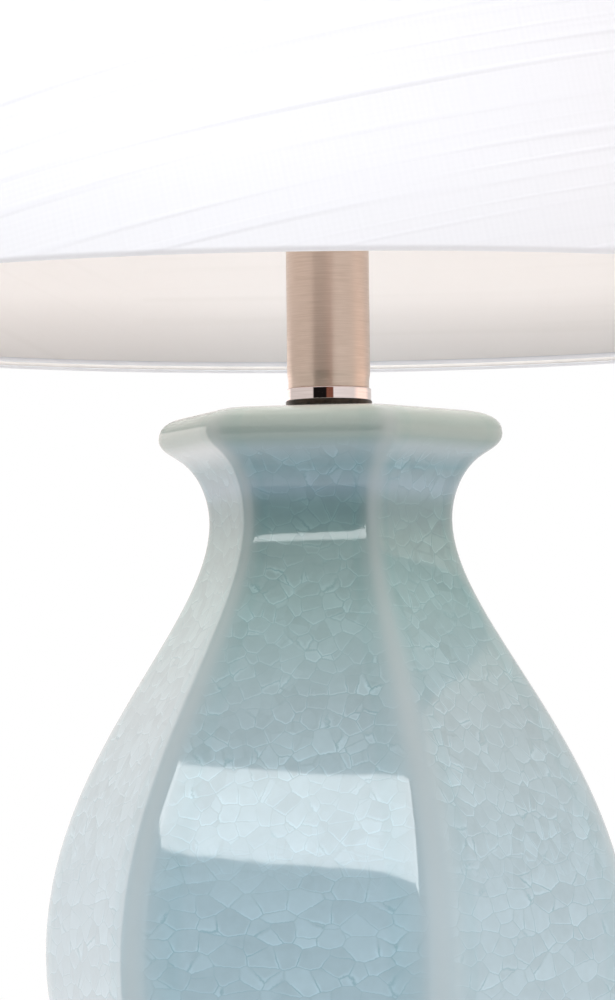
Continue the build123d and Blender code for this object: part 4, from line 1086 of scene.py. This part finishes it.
def weave(tree, pale, shadow, slub_strength):
    """Draw slub linen on a piece's flat pattern; give its colour and its relief."""
    flat = add(tree, "UVMap", uv_map="flat_pattern")
    across = add(tree, "SeparateXYZ", {0: flat})
    marks, threads = [], []
    for axis, stretch, most in ((1, (1 / 55, 1, 1), 1.0), (0, (1, 1 / 30, 1), 0.2)):
        run = add(tree, "Mapping", {"Vector": flat, "Scale": stretch})
        thick = add(tree, "TexNoise", {"Vector": run, "Scale": 1 / slub_width, "Detail": 1.0})
        slub = {"Value": thick, "From Min": 0.50, "From Max": 0.86, "To Max": most}
        marks.append(add(tree, "MapRange", slub, interpolation_type="SMOOTHSTEP"))
        count = {0: across.outputs[axis], 1: pi / thread}
        count = add(tree, "Math", count, operation="MULTIPLY")
        threads.append(add(tree, "Math", {0: count}, operation="SINE"))
    slubs = add(tree, "Math", dict(enumerate(marks)), operation="MAXIMUM")
    cross = add(tree, "Math", dict(enumerate(threads)), operation="ADD")
    shares = add(tree, "Math", {0: slubs, 1: slub_strength}, operation="MULTIPLY")
    tone = {0: shares, 6: colour(pale), 7: colour(shadow)}
    tone = add(tree, "Mix", tone, data_type="RGBA").outputs[2]
    relief = {0: cross, 1: thread_relief, 2: slubs}
    return tone, add(tree, "Math", relief, operation="MULTIPLY_ADD")


# Bleached linen: matt, with a faint bloom. Threads are 0.5 mm apart, drawn at 0.8 mm so that
# they show; now and then one thickens to a slub, 3 mm wide and up to 17 cm long.
thread, slub_width, thread_relief = 0.8 * mm, 3.2 * mm, 0.025
linen, tree, shader, _ = new_material("bleached_slub_linen")
tone, relief = weave(tree, "#f0f4fa", "#e9edf4", 0.8)
relief = add(tree, "Bump", {"Strength": 0.5, "Distance": 0.26 * mm, "Height": relief})
looks = {"Base Color": tone, "Roughness": 0.85, "Sheen Weight": 0.15, "Normal": relief}
feed(tree, shader, looks)
cover = place("linen_cover", bm, linen)
cloth = cover.modifiers.new("cloth", "SOLIDIFY")
cloth.thickness, cloth.offset = cloth_thickness, 0
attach(cover, "shade")
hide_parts("shade_cover")

# -------------------------------- shade lining
# Inside the linen is a lining of thin cream styrene, laminated to the cloth, so the slubs
# show through it as faint shadows. It stops short of the wires.
lining_thickness, lining_margin, lining_out = 0.4 * mm, 2.5 * mm, 0.85 * mm
bm = bmesh.new()
low_point = bm.verts.new(bottom_axis + lining_out * outward + lining_margin * upward)
high_point = bm.verts.new(top_axis + lining_out * outward - lining_margin * upward)
bmesh.ops.subdivide_edges(bm, edges=[bm.edges.new((low_point, high_point))], cuts=11)
spin_wall(bm)
lay_flat(bm)
# Styrene sheet: smooth, half dull, warm white.
styrene, tree, shader, _ = new_material("cream_styrene")
tone, relief = weave(tree, "#fbf9f8", "#f2f0ee", 0.5)
relief = add(tree, "Bump", {"Strength": 0.2, "Distance": 0.04 * mm, "Height": relief})
feed(tree, shader, {"Base Color": tone, "Roughness": 0.55, "Normal": relief})
lining = place("styrene_lining", bm, styrene)
sheet = lining.modifiers.new("sheet", "SOLIDIFY")
sheet.thickness, sheet.offset = lining_thickness, 0
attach(lining, "shade")
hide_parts("shade_liner")

# -------------------------------- shade frame
# Two rings of white coated wire hold the cloth round. Three bent arms run from the top ring
# down to a stamped hub, which sits on the harp's seat under the finial.
# The coat is baked enamel: white and glossy, a little uneven.
enamel = worn("white_baked_enamel", "#e9e8e6", "#f1f0ee", 5 * mm, 0.35, depth=0.02 * mm)
for name, node, axis in (
    ("bottom_wire", "shade_bottom_ring", bottom_axis),
    ("top_wire", "shade_top_ring", top_axis),
):
    bm = bmesh.new()
    bmesh.ops.create_circle(bm, segments=12, radius=ring_wire)
    bmesh.ops.rotate(bm, verts=bm.verts, matrix=Matrix.Rotation(pi / 2, 3, "X"))
    bmesh.ops.translate(bm, verts=bm.verts, vec=axis)
    hoop = place(name, spin_round(bm, 192), enamel)
    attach(hoop, "shade")
    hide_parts(node)

hub_radius, hub_thickness, arm_wire = 12.7 * mm, 2.0 * mm, 1.4 * mm
hub_top, hub_bore, groove, groove_inner = seat + hub_thickness, stud_radius + 0.4 * mm, 0.35 * mm, 9 * mm
arm_level = seat + hub_thickness / 2
knee = Vector((top_axis.x - 10 * mm, 0, arm_level))
arm_end = top_axis - (top_axis - knee).normalized() * ring_wire
spider = turn(
    [
        (hub_bore, seat), (hub_radius, seat), (hub_radius, hub_top), (hub_radius - 3 * mm, hub_top),
        (hub_radius - 3.6 * mm, hub_top - groove), (groove_inner + 0.6 * mm, hub_top - groove),
        (groove_inner, hub_top), (hub_bore, hub_top),
    ],
    rounding=0.15 * mm,
)
arm_route = [((hub_radius - arm_wire, 0, arm_level), 0), (tuple(knee), 12 * mm), (tuple(arm_end), 0)]
for third in range(3):
    arm = bend_wire(arm_route, arm_wire)
    gather(spider, arm, Matrix.Rotation(pi / 2 + third * 2 * pi / 3, 4, "Z"))
spider = place("spider", spider, enamel)
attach(spider, "shade")
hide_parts("shade_spider")

# -------------------------------- finial
# A turned knob in satin nickel, with a threaded brass insert pressed in from below. It screws
# down on the stud and holds the shade.
finial_low, finial_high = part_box("finial_knob")
insert_low, insert_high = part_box("finial_insert")
base_radius, base_height, waist_radius, ball = 9.0 * mm, 2 * mm, 6.6 * mm, 9.5 * mm
ball_centre, waist_top = finial_high.z - ball, finial_low.z + 8 * mm
bore_radius, stud_bore = insert_high.x + 0.4 * mm, stud_radius + 0.4 * mm
seat_top, bore_end = insert_high.z + 0.3 * mm, stud_high.z + 1 * mm
swell = quarter_pull * ball
outline = [(0, finial_high.z)]
bend(outline, (swell, finial_high.z), (ball, ball_centre + swell), (ball, ball_centre), 13)
bend(
    outline, (ball, ball_centre - 4 * mm), (waist_radius + 1.8 * mm, waist_top + 3.2 * mm),
    (waist_radius, waist_top + 2 * mm)
)
outline += [(waist_radius, waist_top)]
bend(
    outline, (waist_radius, waist_top - 3 * mm),
    (base_radius - 1.5 * mm, finial_low.z + base_height + 0.5 * mm),
    (base_radius, finial_low.z + base_height)
)
outline += [(base_radius, finial_low.z), (bore_radius, finial_low.z)]
outline += [(bore_radius, seat_top), (stud_bore, seat_top), (stud_bore, bore_end), (0, bore_end)]
finial = place("finial", turn(outline), satin)
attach(finial, "finial")
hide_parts("finial_knob")

bm = turn(hollow(stud_bore, insert_low, insert_high), rounding=0.2 * mm, steps=48)
insert = place("threaded_insert", bm, brass)
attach(insert, "finial_insert")
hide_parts("finial_insert")
